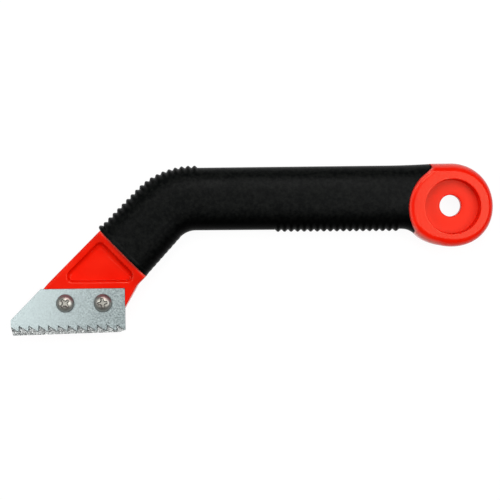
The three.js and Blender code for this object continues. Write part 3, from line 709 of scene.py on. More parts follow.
def nickel_steel():
    """Nickel plate: bright where it faces out, with painted shade on steep sides and a painted pink
    reflection towards the red nose.
    """
    made, tree, shader = material("nickel_steel")
    cloud = noise(tree, 700, Detail=3.0)
    facing = math_node(tree, "ABSOLUTE", along(tree, "Normal", (0, 0, 1)))
    centred = math_node(tree, "SUBTRACT", cloud, 0.5)
    tone = math_node(tree, "MULTIPLY_ADD", centred, NICKEL_CLOUDING, facing)
    tilt = math_node(tree, "MULTIPLY_ADD", along(tree, "Normal", PAINTED_REFLECTION_SIDE), 0.5, 0.5)
    strength = math_node(tree, "MULTIPLY_ADD", facing, *PAINTED_REFLECTION_STRENGTH)
    tones, tints = ramp(tree, tone, NICKEL_TONES), ramp(tree, tilt, PAINTED_REFLECTION_TINTS)
    feed(tree, shader, Base_Color=blend(tree, tones, tints, strength, "MULTIPLY"), Metallic=1.0)
    feed(tree, shader, Roughness=uneven(tree, cloud, 0.35, 0.46))
    return made


RED = red_plastic("red_plastic", 0.87, 0.004)
RED_WORN = red_plastic("red_plastic_worn", 0.88, 0.01)
RUBBER, ZINC, GRIT, NICKEL = black_rubber(), zinc_steel(), grit_steel(), nickel_steel()


# Outline of the grip and the eye

def cubic(x, start, end):
    """Height at x on the cubic between two (x, height, slope)."""
    span = end[0] - start[0]
    t = (x - start[0]) / span
    rise = start[1] + (end[1] - start[1]) * t * t * (3 - 2 * t)
    return rise + span * t * (1 - t) * (start[2] * (1 - t) - end[2] * t)


def eye_arc(start, end):
    """The eye's rounded edge between two directions, flattened and filled a little by EYE_FLATS."""
    a = np.linspace(start, end, EYE_ARC_POINTS)
    radius = EYE_RADIUS - sum(
        depth * np.clip(np.cos(a - way), 0, 1) ** EYE_FLAT_SHARPNESS for way, depth in EYE_FLATS
    )
    return np.column_stack([radius * np.cos(a), EYE_RISE + radius * np.sin(a)])


EYE_UNDER, EYE_OVER = eye_arc(NECK_JOIN_ANGLE, 0), eye_arc(0, math.pi / 2)
EYE_UNDER_RUN = EYE_UNDER[1] - EYE_UNDER[0]
NECK_JOIN = (*EYE_UNDER[0], EYE_UNDER_RUN[1] / EYE_UNDER_RUN[0])
BELLY_SLOPE = math.tan(BELLY_TAPER)
NECK_TURN = (NECK_TURN_X, NECK_TURN_X * BELLY_SLOPE - BELLY_DROP, BELLY_SLOPE)


def back_height(x):
    flare = np.maximum(0, 1 + (x - BACK_FLARE_END) / BACK_FLARE_LENGTH)
    return BACK_HEIGHT + x * math.tan(BACK_TAPER) + BACK_FLARE * flare**2


def belly_height(x):
    neck = np.where(x < NECK_STEEP[0], cubic(x, NECK_TURN, NECK_STEEP), cubic(x, NECK_STEEP, NECK_JOIN))
    return np.where(x <= NECK_TURN[0], x * BELLY_SLOPE - BELLY_DROP, neck)


def straight_station(x):
    """The points on the back and the belly that a section joins, straight across once clear of the bend."""
    share = min(max((x + BACK_BEND_AT) / BELLY_CATCH_UP, 0), 1)
    belly_x = x + (BACK_BEND_AT - BELLY_BEND_AT) * (1 - share)
    return np.array([x, float(back_height(x))]), np.array([belly_x, float(belly_height(belly_x))])


def on_bend(x, y, radius, start, angle):
    centre = np.array([x + radius * math.sin(start), y - radius * math.cos(start)])
    return centre + radius * np.array([-math.sin(angle), math.cos(angle)])


def bend_station(t):
    back_angle = BACK_TAPER + t * (BACK_SLANT - BACK_TAPER)
    back_start = float(back_height(-BACK_BEND_AT))
    back = on_bend(-BACK_BEND_AT, back_start, BACK_BEND_RADIUS, BACK_TAPER, back_angle)
    belly_angle = BELLY_TAPER + t * (BELLY_SLANT - BELLY_TAPER)
    belly_start = float(belly_height(-BELLY_BEND_AT))
    belly = on_bend(-BELLY_BEND_AT, belly_start, BELLY_BEND_RADIUS, BELLY_TAPER, belly_angle)
    return back, belly


def slant_station(t):
    back, belly = bend_station(1)
    back = back + heading(BACK_SLANT) * t * BACK_SLANT_LENGTH
    belly = belly + heading(BELLY_SLANT) * t * BELLY_SLANT_LENGTH
    return back, belly


BACK_BEND_LENGTH = BACK_BEND_RADIUS * (BACK_SLANT - BACK_TAPER)


def station_from_front(length):
    """The section at this length along the back from the nose's end of the grip."""
    if length < BACK_SLANT_LENGTH:
        return slant_station(1 - length / BACK_SLANT_LENGTH)
    beyond = length - BACK_SLANT_LENGTH
    if beyond < BACK_BEND_LENGTH:
        return bend_station(1 - beyond / BACK_BEND_LENGTH)
    return straight_station(-BACK_BEND_AT + beyond - BACK_BEND_LENGTH)


# The grip's front end: its two corners, the way across it and the way out of it, along the nose
FRONT_BACK, FRONT_BELLY = slant_station(1)
ACROSS = unit(FRONT_BELLY - FRONT_BACK)
AWAY = np.array([ACROSS[1], -ACROSS[0]])


# Rubber sleeve

def sleeve_ring(station, back_rib=0.0, belly_rib=0.0, swell=0.0):
    """One section: a superellipse from belly to back, with its ribs on the rounded edges."""
    back, belly = station
    middle, up = (back + belly) / 2, back - belly
    half = np.linalg.norm(up) / 2 + swell
    up = up / np.linalg.norm(up)
    a = (np.arange(SECTION_POINTS) + 0.5) / SECTION_POINTS * 2 * math.pi
    power = 2 / SLEEVE_ROUNDNESS
    z = (SLEEVE_HALF + swell) * np.sign(np.sin(a)) * np.abs(np.sin(a)) ** power
    fade = 1 - smoothstep(np.abs(z) / SLEEVE_HALF, *RIB_FADE)
    ribs = np.where(np.cos(a) > 0, back_rib, -belly_rib) * fade
    height = half * np.sign(np.cos(a)) * np.abs(np.cos(a)) ** power + ribs
    return np.column_stack([middle[0] + up[0] * height, middle[1] + up[1] * height, z])


def rib_height(share, length):
    count = round(length / RIB_PITCH)
    swell = 0.5 - 0.5 * math.cos(2 * math.pi * share * count)
    return (RIB_RISE + RIB_GULLET) * swell**RIB_FULLNESS - RIB_GULLET


def rib_shares(length):
    steps = round(length / RIB_PITCH) * STEPS_PER_RIB
    return np.arange(steps + 1) / steps


# The sleeve's rounded lobe on the eye's back: the outline's right side, from its lower end up
LOBE_EDGE = rounded([
    (*SLEEVE_LOBE, 0),
    (*SLEEVE_TIP, SLEEVE_LOBE_ROUNDING),
    (*SLEEVE_TOP, 0),
    (SLEEVE_TOP[0], EYE_RADIUS * 2, 0),
    (SLEEVE_LOBE[0] * 2, EYE_RADIUS * 2, 0),
    (SLEEVE_LOBE[0] * 2, SLEEVE_LOBE[1], 0),
])
LOBE_EDGE = LOBE_EDGE[np.argsort(LOBE_EDGE[:, 1], kind="stable")]
LOBE_EDGE = LOBE_EDGE[LOBE_EDGE[:, 0] > SLEEVE_LOBE[0] - 0.01]


def sleeve_end(y):
    """X of the sleeve's end at height y, where the eye begins."""
    lobe = np.interp(y, LOBE_EDGE[:, 1], LOBE_EDGE[:, 0])
    reach = SLEEVE_END_RADIUS**2 - (y - SLEEVE_END_CENTRE[1]) ** 2
    arc = SLEEVE_END_CENTRE[0] - np.sqrt(np.maximum(reach, 0))
    arc = np.where(y < SLEEVE_FOOT[1], np.minimum(arc, SLEEVE_FOOT[0]), arc)
    return np.where(y > SLEEVE_LOBE[1], lobe, arc) - SLEEVE_END_GAP


def neck_rings():
    """From the last rib to the eye, each point's line stopping where the eye's space begins."""
    start = BELLY_RIBS[1] + NECK_START
    rings = []
    for share in [*np.linspace(0, NECK_LAST_SHARE, NECK_STEPS), 1.0]:
        tuck = NECK_TUCK if share == 1.0 else 0.0
        x = np.full(SECTION_POINTS, start)
        for _ in range(4):
            ring = np.array([
                sleeve_ring(straight_station(v), swell=-tuck)[j] for j, v in enumerate(x)
            ])
            x = start + (sleeve_end(ring[:, 1]) - start) * share
        ring[:, 0] = x
        rings.append(ring)
    return rings


def collar_rings():
    """The bead round the sleeve's front end, up to the first rib."""
    rings = []
    for i in range(COLLAR_STEPS + 1):
        t = i / COLLAR_STEPS
        rise = math.sin(math.pi * between(COLLAR_BEAD_START, 1, t))
        bead = max(rise, 0) ** COLLAR_BEAD_FULLNESS
        station = station_from_front(between(COLLAR_GAP, BACK_RIBS_FROM, t))
        fall = RIB_GULLET * smoothstep(t, COLLAR_FALL_FROM, 1)
        rings.append(sleeve_ring(station, back_rib=COLLAR_BEAD_RISE * bead - fall, swell=COLLAR_RISE * bead))
    return rings


def sleeve():
    rings = collar_rings()
    for share in rib_shares(BACK_RIB_LENGTH)[1:]:
        length = BACK_RIBS_FROM + share * BACK_RIB_LENGTH
        rise = rib_height(share, BACK_RIB_LENGTH)
        belly_rise = rise * BELLY_SLANT_RIB_SHARE if length < BACK_SLANT_LENGTH else 0
        rings.append(sleeve_ring(station_from_front(length), back_rib=rise, belly_rib=belly_rise))
    ribs_end = -BACK_BEND_AT + BACK_RIBS_FROM + BACK_RIB_LENGTH - BACK_SLANT_LENGTH - BACK_BEND_LENGTH
    for x in np.linspace(ribs_end + PLAIN_MARGIN, BELLY_RIBS[0] - PLAIN_MARGIN, PLAIN_STEPS):
        rings.append(sleeve_ring(straight_station(x)))
    stretch = BELLY_RIBS[1] - BELLY_RIBS[0]
    for share in rib_shares(stretch):
        rise = rib_height(share, stretch)
        rings.append(sleeve_ring(straight_station(BELLY_RIBS[0] + share * stretch), belly_rib=rise))
    rings += neck_rings()
    bm = bmesh.new()
    add_ladder_tube(bm, rings)
    return to_object("rubber_sleeve", bm, RUBBER, RIB_SHARP_ANGLE)


finish_piece(sleeve(), "grip_sleeve", weighted=False)


# Hanging eye

def outline_bottom(x):
    return np.where(x < NECK_JOIN[0], belly_height(x), np.interp(x, *EYE_UNDER.T))


def outline_top(x):
    above = np.interp(x, *EYE_OVER[::-1].T)
    share = np.clip(x / BACK_FLARE_END, 0, 1)
    ramped = (EYE_RISE + EYE_RADIUS) * (1 - share) + back_height(BACK_FLARE_END) * share
    return np.where(x > 0, above, np.where(x > BACK_FLARE_END, ramped, back_height(x)))


def in_eye(x, y):
    inside = (y < outline_top(x)) & (y > outline_bottom(x))
    return inside & (x > sleeve_end(y) + SLEEVE_END_GAP)


def eye_reach(angles):
    """Distance from the hole's centre to the eye's edge in each direction."""
    low, high = np.full(len(angles), RECESS_RADIUS), np.full(len(angles), 2 * EYE_RADIUS)
    for _ in range(30):
        middle = (low + high) / 2
        inside = in_eye(middle * np.cos(angles), middle * np.sin(angles))
        low, high = np.where(inside, middle, low), np.where(inside, high, middle)
    return low


def eye_outline():
    """Points along the eye's outer edge, drawn out past the sleeve's end."""
    xs = np.linspace(EYE_OUTLINE_FROM, NECK_JOIN[0], OUTLINE_POINTS)
    lower = np.column_stack([xs, belly_height(xs)])
    xs = np.linspace(0, EYE_OUTLINE_FROM, OUTLINE_POINTS)
    upper = np.column_stack([xs, outline_top(xs)])
    return np.vstack([lower, EYE_UNDER[1:], EYE_OVER[1:], upper[1:]])


def nearest(points, line):
    """Distance from each point to an open line."""
    start, run = line[:-1], line[1:] - line[:-1]
    across = points[:, None] - start[None]
    t = np.clip(np.sum(across * run, 2) / np.sum(run * run, 1), 0, 1)
    return np.min(np.linalg.norm(across - t[..., None] * run, axis=2), 1)


SEAM_Y = np.linspace(*SEAM_HEIGHTS, SEAM_POINTS)
SEAM = np.column_stack([sleeve_end(SEAM_Y) + SLEEVE_END_GAP, SEAM_Y])


def eye_height(x, y, edge):
    """Height of the eye's rolled face over each point; the roll starts at a soft crease."""
    points = np.column_stack([x, y])
    distance = nearest(points, edge)
    outward = np.clip(x / np.hypot(x, y), 0, 1) ** EYE_EDGE_WIDTH_POWER
    width = between(*EYE_EDGE_WIDTHS, outward)
    t = np.clip(1 - distance / width, 0, 1)
    upward = np.clip(y / np.hypot(x, y), 0, 1) ** EYE_EDGE_SHAPE_POWER
    crease = between(*EYE_EDGE_CREASE, upward)
    fullness = between(*EYE_EDGE_FULLNESS, upward)
    roll = crease * t + (1 - crease) * (1 - (1 - t**fullness) ** (1 / fullness))
    from_seam = nearest(points, SEAM)
    fall = SEAM_DROP * np.clip(1 - from_seam / SEAM_WIDTH, 0, 1) ** 2
    fall += SEAM_EDGE_DROP * (1 - np.sqrt(1 - np.clip(1 - from_seam / SEAM_EDGE_WIDTH, 0, 1) ** 2))
    bead = SEAM_BEAD_RISE * np.sqrt(np.clip(1 - ((from_seam - SEAM_BEAD_AT) / SEAM_BEAD_WIDTH) ** 2, 0, 1))
    return EYE_HALF - EYE_EDGE_DEPTH * roll - fall + bead * (1 - roll)


def marked_beside(points, line, width):
    """Full mark along a line, fading out within width of it."""
    return np.clip(MARK_STEEPNESS * (1 - nearest(points[:, :2], line) / width), 0, 1)


def seam_wear_and_sheen(points):
    """How strongly the plastic beside the seam is paled by rubbing and a painted highlight, most at the
    seam's lower end.
    """
    low_end = smoothstep(-points[:, 1], *SEAM_WEAR_AND_SHEEN_FROM)
    return marked_beside(points, SEAM, SEAM_WEAR_AND_SHEEN_WIDTH) * between(SEAM_WEAR_AND_SHEEN_SHARE, 1, low_end)


def painted_edge_sheen(points, edge):
    """A painted highlight, made the same way, along the eye's rolled edges, under the neck and on top."""
    beside = marked_beside(points, edge, EDGE_SHEEN_WIDTH)
    beside *= smoothstep(np.abs(points[:, 2]), *EDGE_SHEEN_HEIGHTS)
    way = np.degrees(np.arctan2(points[:, 1], points[:, 0]))
    stretches = (
        share * smoothstep(way, start, full) * (1 - smoothstep(way, fading, end))
        for start, full, fading, end, share in EDGE_SHEENS
    )
    return beside * sum(stretches)


def recess_profile():
    """(radius, height) from the hole's edge over the web and up the recess's wall to its rim."""
    floor = EYE_WEB / 2
    foot = RECESS_FOOT + RECESS_FILLET
    profile = [(HOLE_RADIUS, 0.0)]
    profile += [(HOLE_RADIUS + wall, floor - face) for face, wall in quarter(HOLE_RIM)]
    profile += [(radius, floor) for radius in WEB_RINGS]
    profile += [(foot - face, floor + wall) for face, wall in quarter(RECESS_FILLET, 6)]
    profile += [(RECESS_RADIUS + wall, EYE_HALF - face) for face, wall in quarter(RECESS_RIM, 3)]
    return profile


def eye():
    corners = [math.atan2(y, x) for x, y in LOBE_EDGE if y < BACK_HEIGHT]
    turns = np.arange(EYE_DIRECTIONS) / EYE_DIRECTIONS * 2 * math.pi - math.pi
    angles = np.sort(np.concatenate([turns, corners]))
    reach = eye_reach(angles)
    edge = eye_outline()
    ways = np.column_stack([np.cos(angles), np.sin(angles)])
    rows = []
    for r, z in recess_profile():
        flat = r * ways + smoothstep(r, HOLE_RADIUS + 2 * HOLE_RIM, RECESS_FOOT) * np.array(RECESS_CENTRE)
        rows.append(np.column_stack([flat, np.full(len(angles), z)]))
    for t in 1 - (1 - np.linspace(0, 1, EYE_ROWS)[1:]) ** EYE_ROW_CROWDING:
        x, y = (flat + (reach[:, None] * ways - flat) * t).T
        rows.append(np.column_stack([x, y, eye_height(x, y, edge)]))
    rows += [row * [1, 1, -1] for row in rows[::-1][:-1]]
    bm = bmesh.new()
    pale_wear_and_sheen, hollow = (bm.verts.layers.float.new(name) for name in ("wear_and_sheen", "hollow"))
    loops = [[bm.verts.new(p) for p in row] for row in rows]
    for loop, row in zip(loops, rows):
        # Marks for the material: paler red beside the seam (rubbing and painted highlight) and along the
        # rolled edges (painted highlight)
        pale_marks = np.maximum(seam_wear_and_sheen(row), painted_edge_sheen(row, edge))
        for vert, wear_and_sheen, (x, y, z) in zip(loop, pale_marks, row):
            # The eye's hollow, which the material darkens with painted shade and makes rougher
            inside = abs(z) < EYE_HALF - RECESS_RIM and math.hypot(x, y) < RECESS_RADIUS + HOLLOW_MARGIN
            vert[pale_wear_and_sheen] = wear_and_sheen
            vert[hollow] = inside
    skin(bm, loops + loops[:1])
    return to_object("hanging_eye", bm, RED_WORN)


finish_piece(eye(), "handle_core", weighted=False)


# Nose and blades

def on_blade(u, w):
    """u runs from the heel to the toe along the blade's back, w down to the teeth."""
    c, s = math.cos(BACK_TAPER), math.sin(BACK_TAPER)
    return np.array([BLADE_HEEL[0] - u * c + w * s, BLADE_HEEL[1] - u * s - w * c])


SEAT_FLOOR = NOSE_HALF - 2 * (BLADE_THICKNESS + BLADE_GAP)
SCREWS = {
    "toe": on_blade(SCREW_FROM_HEEL + SCREW_PITCH, SCREW_FROM_BACK),
    "heel": on_blade(SCREW_FROM_HEEL, SCREW_FROM_BACK),
}


def nose_outline():
    bottom = np.array([0, -NOSE_DEPTH])
    heel = FRONT_BELLY + heading(BELLY_SLANT) * NOSE_HEEL_DROP
    heel_foot = crossing(heel, NOSE_HEEL_ANGLE, bottom, 0)
    back_top = FRONT_BACK + ACROSS * NOSE_BACK_INSET
    toe_top = on_blade(BLADE_BACK_LENGTH, -SEAT_GAP)
    corner = crossing(back_top, NOSE_BACK_ANGLE, toe_top, BACK_TAPER)
    ease = corner - heading(NOSE_BACK_ANGLE) * NOSE_TOE_EASE
    setback = on_blade(BLADE_BACK_LENGTH - NOSE_SETBACK, 0)
    toe_angle = math.atan2(BLADE_TOE_HEIGHT, BLADE_LENGTH - BLADE_BACK_LENGTH) + BACK_TAPER
    toe_foot = crossing(setback, toe_angle, bottom, 0)
    belly_top = FRONT_BELLY + ACROSS * NOSE_BELLY_RISE
    low_tuck = FRONT_BELLY - ACROSS * NOSE_TUCK_INSET
    high_tuck = FRONT_BACK + ACROSS * NOSE_TUCK_INSET
    tuck = NOSE_TUCK * AWAY
    return rounded([
        (*belly_top, 0),
        (*low_tuck, 0),
        (*(low_tuck - tuck), 0),
        (*(high_tuck - tuck), 0),
        (*high_tuck, 0),
        (*back_top, 0),
        (*ease, NOSE_EASE_RADIUS),
        (*setback, 0),
        (*toe_foot, NOSE_CORNER),
        (*heel_foot, NOSE_CORNER),
        (*heel, NOSE_CORNER),
    ])


def panel_outline():
    front_angle = math.atan2(-ACROSS[1], -ACROSS[0])
    inward = np.array([math.sin(NOSE_BACK_ANGLE), -math.cos(NOSE_BACK_ANGLE)])
    back_line = FRONT_BACK + PANEL_BORDER_BACK * inward
    sleeve_line = FRONT_BACK + PANEL_BORDER_SLEEVE * AWAY
    seat_line = on_blade(0, -PANEL_BORDER_SEAT)
    apex = crossing(back_line, NOSE_BACK_ANGLE, sleeve_line, front_angle)
    toe = crossing(back_line, NOSE_BACK_ANGLE, seat_line, BACK_TAPER)
    heel = crossing(sleeve_line, front_angle, seat_line, BACK_TAPER)
    return rounded([(*p, PANEL_CORNER) for p in (apex, toe, heel)], steps=8)


def panel_profile(panel):
    """The panel's sunk profile: a broad lip and tight foot by the seat, a wide foot by sleeve and apex."""
    above_seat = (panel - on_blade(0, -PANEL_BORDER_SEAT)) @ [-math.sin(BACK_TAPER), math.cos(BACK_TAPER)]
    off_seat = smoothstep(above_seat, 0, PANEL_CORNER)
    at_apex = smoothstep(above_seat, above_seat.max() - 2 * PANEL_CORNER, above_seat.max())
    from_sleeve = (panel - FRONT_BACK) @ AWAY - PANEL_BORDER_SLEEVE
    by_sleeve = (1 - smoothstep(from_sleeve, 0, PANEL_CORNER)) * off_seat * (1 - at_apex)
    lip = between(PANEL_LIP_SEAT, PANEL_LIP, off_seat)
    fillet = between(PANEL_FILLET_SEAT, PANEL_FILLET, off_seat)
    fillet += (PANEL_FILLET_APEX - PANEL_FILLET) * at_apex + (PANEL_FILLET_SLEEVE - PANEL_FILLET) * by_sleeve
    return sunk_profile(lip, PANEL_DRAFT, PANEL_DEPTH, fillet)


def hexagon(x, y, width):
    return circle(x, y, width / 2 / math.cos(math.pi / 6), 6)


def block(outline, low, high):
    bm = bmesh.new()
    close(bm, add_loop(bm, outline, low), add_loop(bm, outline, high))
    return to_object("cutter", bm, RED)


def shade_by_sleeve(made):
    """Painted shadow of the sleeve darkens the red beside it, and a painted highlight pales the nose's rim
    by the sleeve.
    """
    tree = made.node_tree
    shader = tree.nodes["Principled BSDF"]
    start = float(AWAY @ (FRONT_BACK * MM + ORIGIN[:2]))
    reach = 1 / (SHADE_REACH * MM)
    distance = math_node(tree, "MULTIPLY_ADD", along(tree, "Object", (*AWAY, 0)), reach, -start * reach)
    tones, rim = (
        ramp(tree, distance, [(d / SHADE_REACH, grey(value)) for d, value in stops])
        for stops in (SHADE_TONES, LIP_SHEENS)
    )
    unmarked = shader.inputs["Base Color"].links[0].from_socket
    feed(tree, shader, Base_Color=blend(tree, blend(tree, unmarked, tones, how="MULTIPLY"), WEAR_AND_SHEEN_RED, rim))


def seam_lip():
    """The fine raised lip that runs along the nose where the rubber was moulded up to it."""
    start = FRONT_BACK + ACROSS * LIP_INSET + AWAY * LIP_OFFSET
    end = FRONT_BELLY - ACROSS * LIP_INSET + AWAY * LIP_OFFSET
    bm = bmesh.new()
    rings = []
    turns = np.arange(16) / 16 * 2 * math.pi
    for point in np.linspace(start, end, 12):
        flat = point + AWAY * (LIP_WIDTH / 2 * np.cos(turns))[:, None]
        height = NOSE_HALF + LIP_HEIGHT * np.where(np.sin(turns) > 0, np.sin(turns), 2 * np.sin(turns))
        rings.append([bm.verts.new((*p, z)) for p, z in zip(flat, height)])
    skin(bm, rings)
    for ring in (rings[0], rings[-1]):
        bm.faces.new(ring)
    return to_object("lip", bm, RED)


def nose():
    bm = bmesh.new()
    panel = panel_outline()
    add_plate(bm, nose_outline(), -NOSE_HALF, NOSE_HALF, NOSE_EDGE, panel=panel, sunk=panel_profile(panel))
    body = to_object("blade_nose", bm, RED)
    far = BLADE_LENGTH + CUTTER_MARGIN
    corners = ((-SEAT_GAP, -SEAT_GAP), (far, -SEAT_GAP), (far, far), (-SEAT_GAP, far))
    seat = np.array([on_blade(u, w) for u, w in corners])
    cutters = [block(seat, SEAT_FLOOR, NOSE_HALF + CUTTER_MARGIN)]
    below = -NOSE_HALF - CUTTER_MARGIN
    pocket_top = -NOSE_HALF + NUT_INSET + NUT_THICKNESS + NUT_POCKET_REST
    for x, y in SCREWS.values():
        cutters.append(block(circle(x, y, SCREW_RADIUS + SCREW_HOLE_GAP), below, NOSE_HALF))
        cutters.append(block(hexagon(x, y, NUT_WIDTH + NUT_POCKET_GAP), below, pocket_top))
    return combine(combine(body, [seam_lip()], "UNION"), cutters, "DIFFERENCE")


shade_by_sleeve(RED)
finish_piece(nose(), "handle_core")

# The toothed blade's corners on its back and its slanting toe, as (u, w, radius)
BLADE_BACK = [
    (0, 0, BLADE_CORNER),
    (BLADE_BACK_LENGTH, 0, BLADE_CORNER),
    (BLADE_LENGTH, BLADE_TOE_HEIGHT, BLADE_CORNER),
]


def toothed_corners():
    """The front blade's corners, with a part of a tooth at either end."""
    tip_height = GULLET_HEIGHT + TOOTH_DEPTH
    flank = TOOTH_PITCH - TOOTH_RAKE
    teeth = int((BLADE_LENGTH - FIRST_TIP) // TOOTH_PITCH) + 1
    last_gullet = FIRST_TIP + teeth * TOOTH_PITCH - TOOTH_RAKE
    toe_depth = TOOTH_DEPTH * (last_gullet - BLADE_LENGTH) / flank
    heel_depth = TOOTH_DEPTH * min(1, (FIRST_TIP - TOOTH_RAKE) / flank)
    corners = [*BLADE_BACK, (BLADE_LENGTH, GULLET_HEIGHT + toe_depth, 0)]
    for i in reversed(range(teeth)):
        tip = FIRST_TIP + i * TOOTH_PITCH
        corners += [(tip, tip_height, 0), (tip - TOOTH_RAKE, GULLET_HEIGHT, 0)]
    corners.append((0, GULLET_HEIGHT + heel_depth, 0))
    return corners


def blade_outline(corners):
    return rounded([(*on_blade(u, w), r) for u, w, r in corners], steps=4)


BLADE_TOP = SEAT_FLOOR + 2 * (BLADE_GAP + BLADE_THICKNESS)
TOOTHED = blade_outline(toothed_corners())


def toothed_blade():
    bm = bmesh.new()
    holes = [circle(x, y, SCREW_RADIUS + SCREW_HOLE_GAP) for x, y in SCREWS.values()]
    add_plate(bm, TOOTHED, BLADE_TOP - BLADE_THICKNESS, BLADE_TOP, BLADE_EDGE, holes=holes)
    return to_object("saw_blade", bm, ZINC)


finish_piece(toothed_blade(), "toothed_blade")


def grit_depth(u):
    """Depth of the grit blade's edge below its back, with the corners cut off."""
    depth = GRIT_HEEL_HEIGHT + (GRIT_TOE_HEIGHT - GRIT_HEEL_HEIGHT) * u / BLADE_LENGTH
    heel = np.clip(1 - u / GRIT_HEEL_CHAMFER, 0, 1) * GRIT_HEEL_CUT
    toe = np.clip(1 - (BLADE_LENGTH - u) / GRIT_TOE_CHAMFER, 0, 1) * GRIT_TOE_CUT
    return depth - heel - toe


def toe_limit(w):
    """Where the blades' slanting toe end lies at this depth."""
    return BLADE_BACK_LENGTH + (BLADE_LENGTH - BLADE_BACK_LENGTH) * np.clip(w / BLADE_TOE_HEIGHT, 0, 1)


def under_teeth(points, margin):
    """Whether each point lies behind the front blade, or within margin of its outline."""
    x, y = points[:, 0:1], points[:, 1:2]
    x1, y1 = TOOTHED[:, 0], TOOTHED[:, 1]
    x2, y2 = np.roll(x1, -1), np.roll(y1, -1)
    crosses = ((y1 > y) != (y2 > y)) & (x < (x2 - x1) * (y - y1) / (y2 - y1 + 1e-12) + x1)
    inside = np.sum(crosses, 1) % 2 == 1
    return inside | (nearest(points, np.vstack([TOOTHED, TOOTHED[:1]])) < margin)


def grains(points, seed):
    """Height of packed grains over each point, 0 to 1."""
    rng = np.random.default_rng(seed)
    low = points.min(0) - 1
    cells = np.ceil((points.max(0) + 1 - low) / GRAIN_SIZE).astype(int)
    corners = np.stack(np.meshgrid(*[np.arange(c) for c in cells], indexing="ij"), -1)
    seeds = low + (corners + rng.random((*cells, 2))) * GRAIN_SIZE
    tall = rng.uniform(*GRAIN_TALLNESS, tuple(cells))
    home = ((points - low) / GRAIN_SIZE).astype(int)
    best = np.zeros(len(points))
    for dx in (-1, 0, 1):
        for dy in (-1, 0, 1):
            i = np.clip(home[:, 0] + dx, 0, cells[0] - 1)
            j = np.clip(home[:, 1] + dy, 0, cells[1] - 1)
            distance = np.linalg.norm(points - seeds[i, j], axis=1) / GRAIN_SIZE
            best = np.maximum(best, tall[i, j] * np.clip(1 - distance**2 * GRAIN_STEEPNESS, 0, 1))
    return best


def grit_blade():
    columns = np.linspace(0, BLADE_LENGTH, GRIT_COLUMNS)
    plan = []
    for u in columns:
        w = GRIT_ROWS * grit_depth(u)
        reach = u / BLADE_LENGTH * toe_limit(w)
        plan.append([on_blade(a, b) for a, b in zip(reach, w)])
    plan = np.array(plan)
    points = plan.reshape(-1, 2)
    band = smoothstep(np.tile(GRIT_ROWS, GRIT_COLUMNS), *GRIT_BAND)
    face, rear = (band * height * grains(points, seed) for height, seed in zip(GRAIN_HEIGHTS, GRAIN_SEEDS))
    face = np.where(under_teeth(points, GRAIN_MARGIN), 0, face)
    low = SEAT_FLOOR + BLADE_GAP
    rings = []
    shape = plan.shape[:2]
    for line, rise, drop in zip(plan, face.reshape(shape), rear.reshape(shape)):
        upper = np.column_stack([line, low + BLADE_THICKNESS + rise])
        lower = np.column_stack([line, low - drop])[::-1]
        rings.append(np.vstack([upper, lower]))
    bm = bmesh.new()
    add_ladder_tube(bm, rings)
    return to_object("grit_edge_blade", bm, GRIT, METAL_SHARP_ANGLE)


finish_piece(grit_blade(), "grit_blade", weighted=False)


# Screws and nuts

def tapered_bar(x, y, half_length, half_width, turn, top):
    """A bar across the head, from its top down to the cross recess's floor, narrowing as it goes."""
    bm = bmesh.new()
    loops = []
    for wider, z in ((CROSS_DRAFT, top + CROSS_MARGIN), (-CROSS_DRAFT, top - CROSS_DEPTH)):
        a, b = half_length + wider, half_width + wider
        corners = np.array([(a, b), (-a, b), (-a, -b), (a, -b)])
        c, s = math.cos(turn), math.sin(turn)
        loops.append(add_loop(bm, corners @ np.array([[c, s], [-s, c]]) + [x, y], z))
    close(bm, *loops)
    return to_object("bar", bm, NICKEL)


def screw(end):
    base = BLADE_TOP + BLADE_GAP
    tip = base - SCREW_LENGTH
    profile = [(0, base + SCREW_HEAD_HEIGHT)]
    for r in np.linspace(0, 1, DOME_STEPS)[1:]:
        dome = (SCREW_HEAD_HEIGHT - SCREW_HEAD_RIM) * math.sqrt(1 - r**SCREW_DOME_POWER)
        profile.append((r * SCREW_HEAD_RADIUS, base + SCREW_HEAD_RIM + dome))
    profile += [
        (SCREW_HEAD_RADIUS, base + SCREW_HEAD_EDGE),
        (SCREW_HEAD_RADIUS - SCREW_HEAD_EDGE, base),
        (SCREW_RADIUS, base),
        (SCREW_RADIUS, tip + SCREW_POINT),
        (SCREW_RADIUS - SCREW_POINT, tip),
        (0, tip),
    ]
    bm = bmesh.new()
    turned(bm, profile, SCREWS[end])
    body = to_object(f"pan_screw_{end}", bm, NICKEL, METAL_SHARP_ANGLE)
    turn, top = SCREW_TURNS[end], base + SCREW_HEAD_HEIGHT
    cross = [tapered_bar(*SCREWS[end], a, b, turn + side, top) for a, b, side in CROSS_BARS]
    return combine(body, cross, "DIFFERENCE")


def nut(end):
    x, y = SCREWS[end]
    bm = bmesh.new()
    low = -NOSE_HALF + NUT_INSET
    bore = circle(x, y, SCREW_RADIUS + NUT_BORE_GAP)
    add_plate(bm, hexagon(x, y, NUT_WIDTH), low, low + NUT_THICKNESS, NUT_EDGE, holes=[bore])
    return to_object(f"hex_nut_{end}", bm, NICKEL)


for end in SCREWS:
    finish_piece(screw(end), f"blade_screw_{end}", weighted=False)
    finish_piece(nut(end), f"blade_nut_{end}")


# Studio in metres: a white floor that keeps the shadow, soft lamps from above, the camera straight over

FLOOR_GLOW = 1.06
FLOOR_GLOW_SHARE = 0.88
STUDIO_RADIUS = 3.0
WALL_HEIGHT = 0.65
FLOOR_CLEARANCE = 0.0001


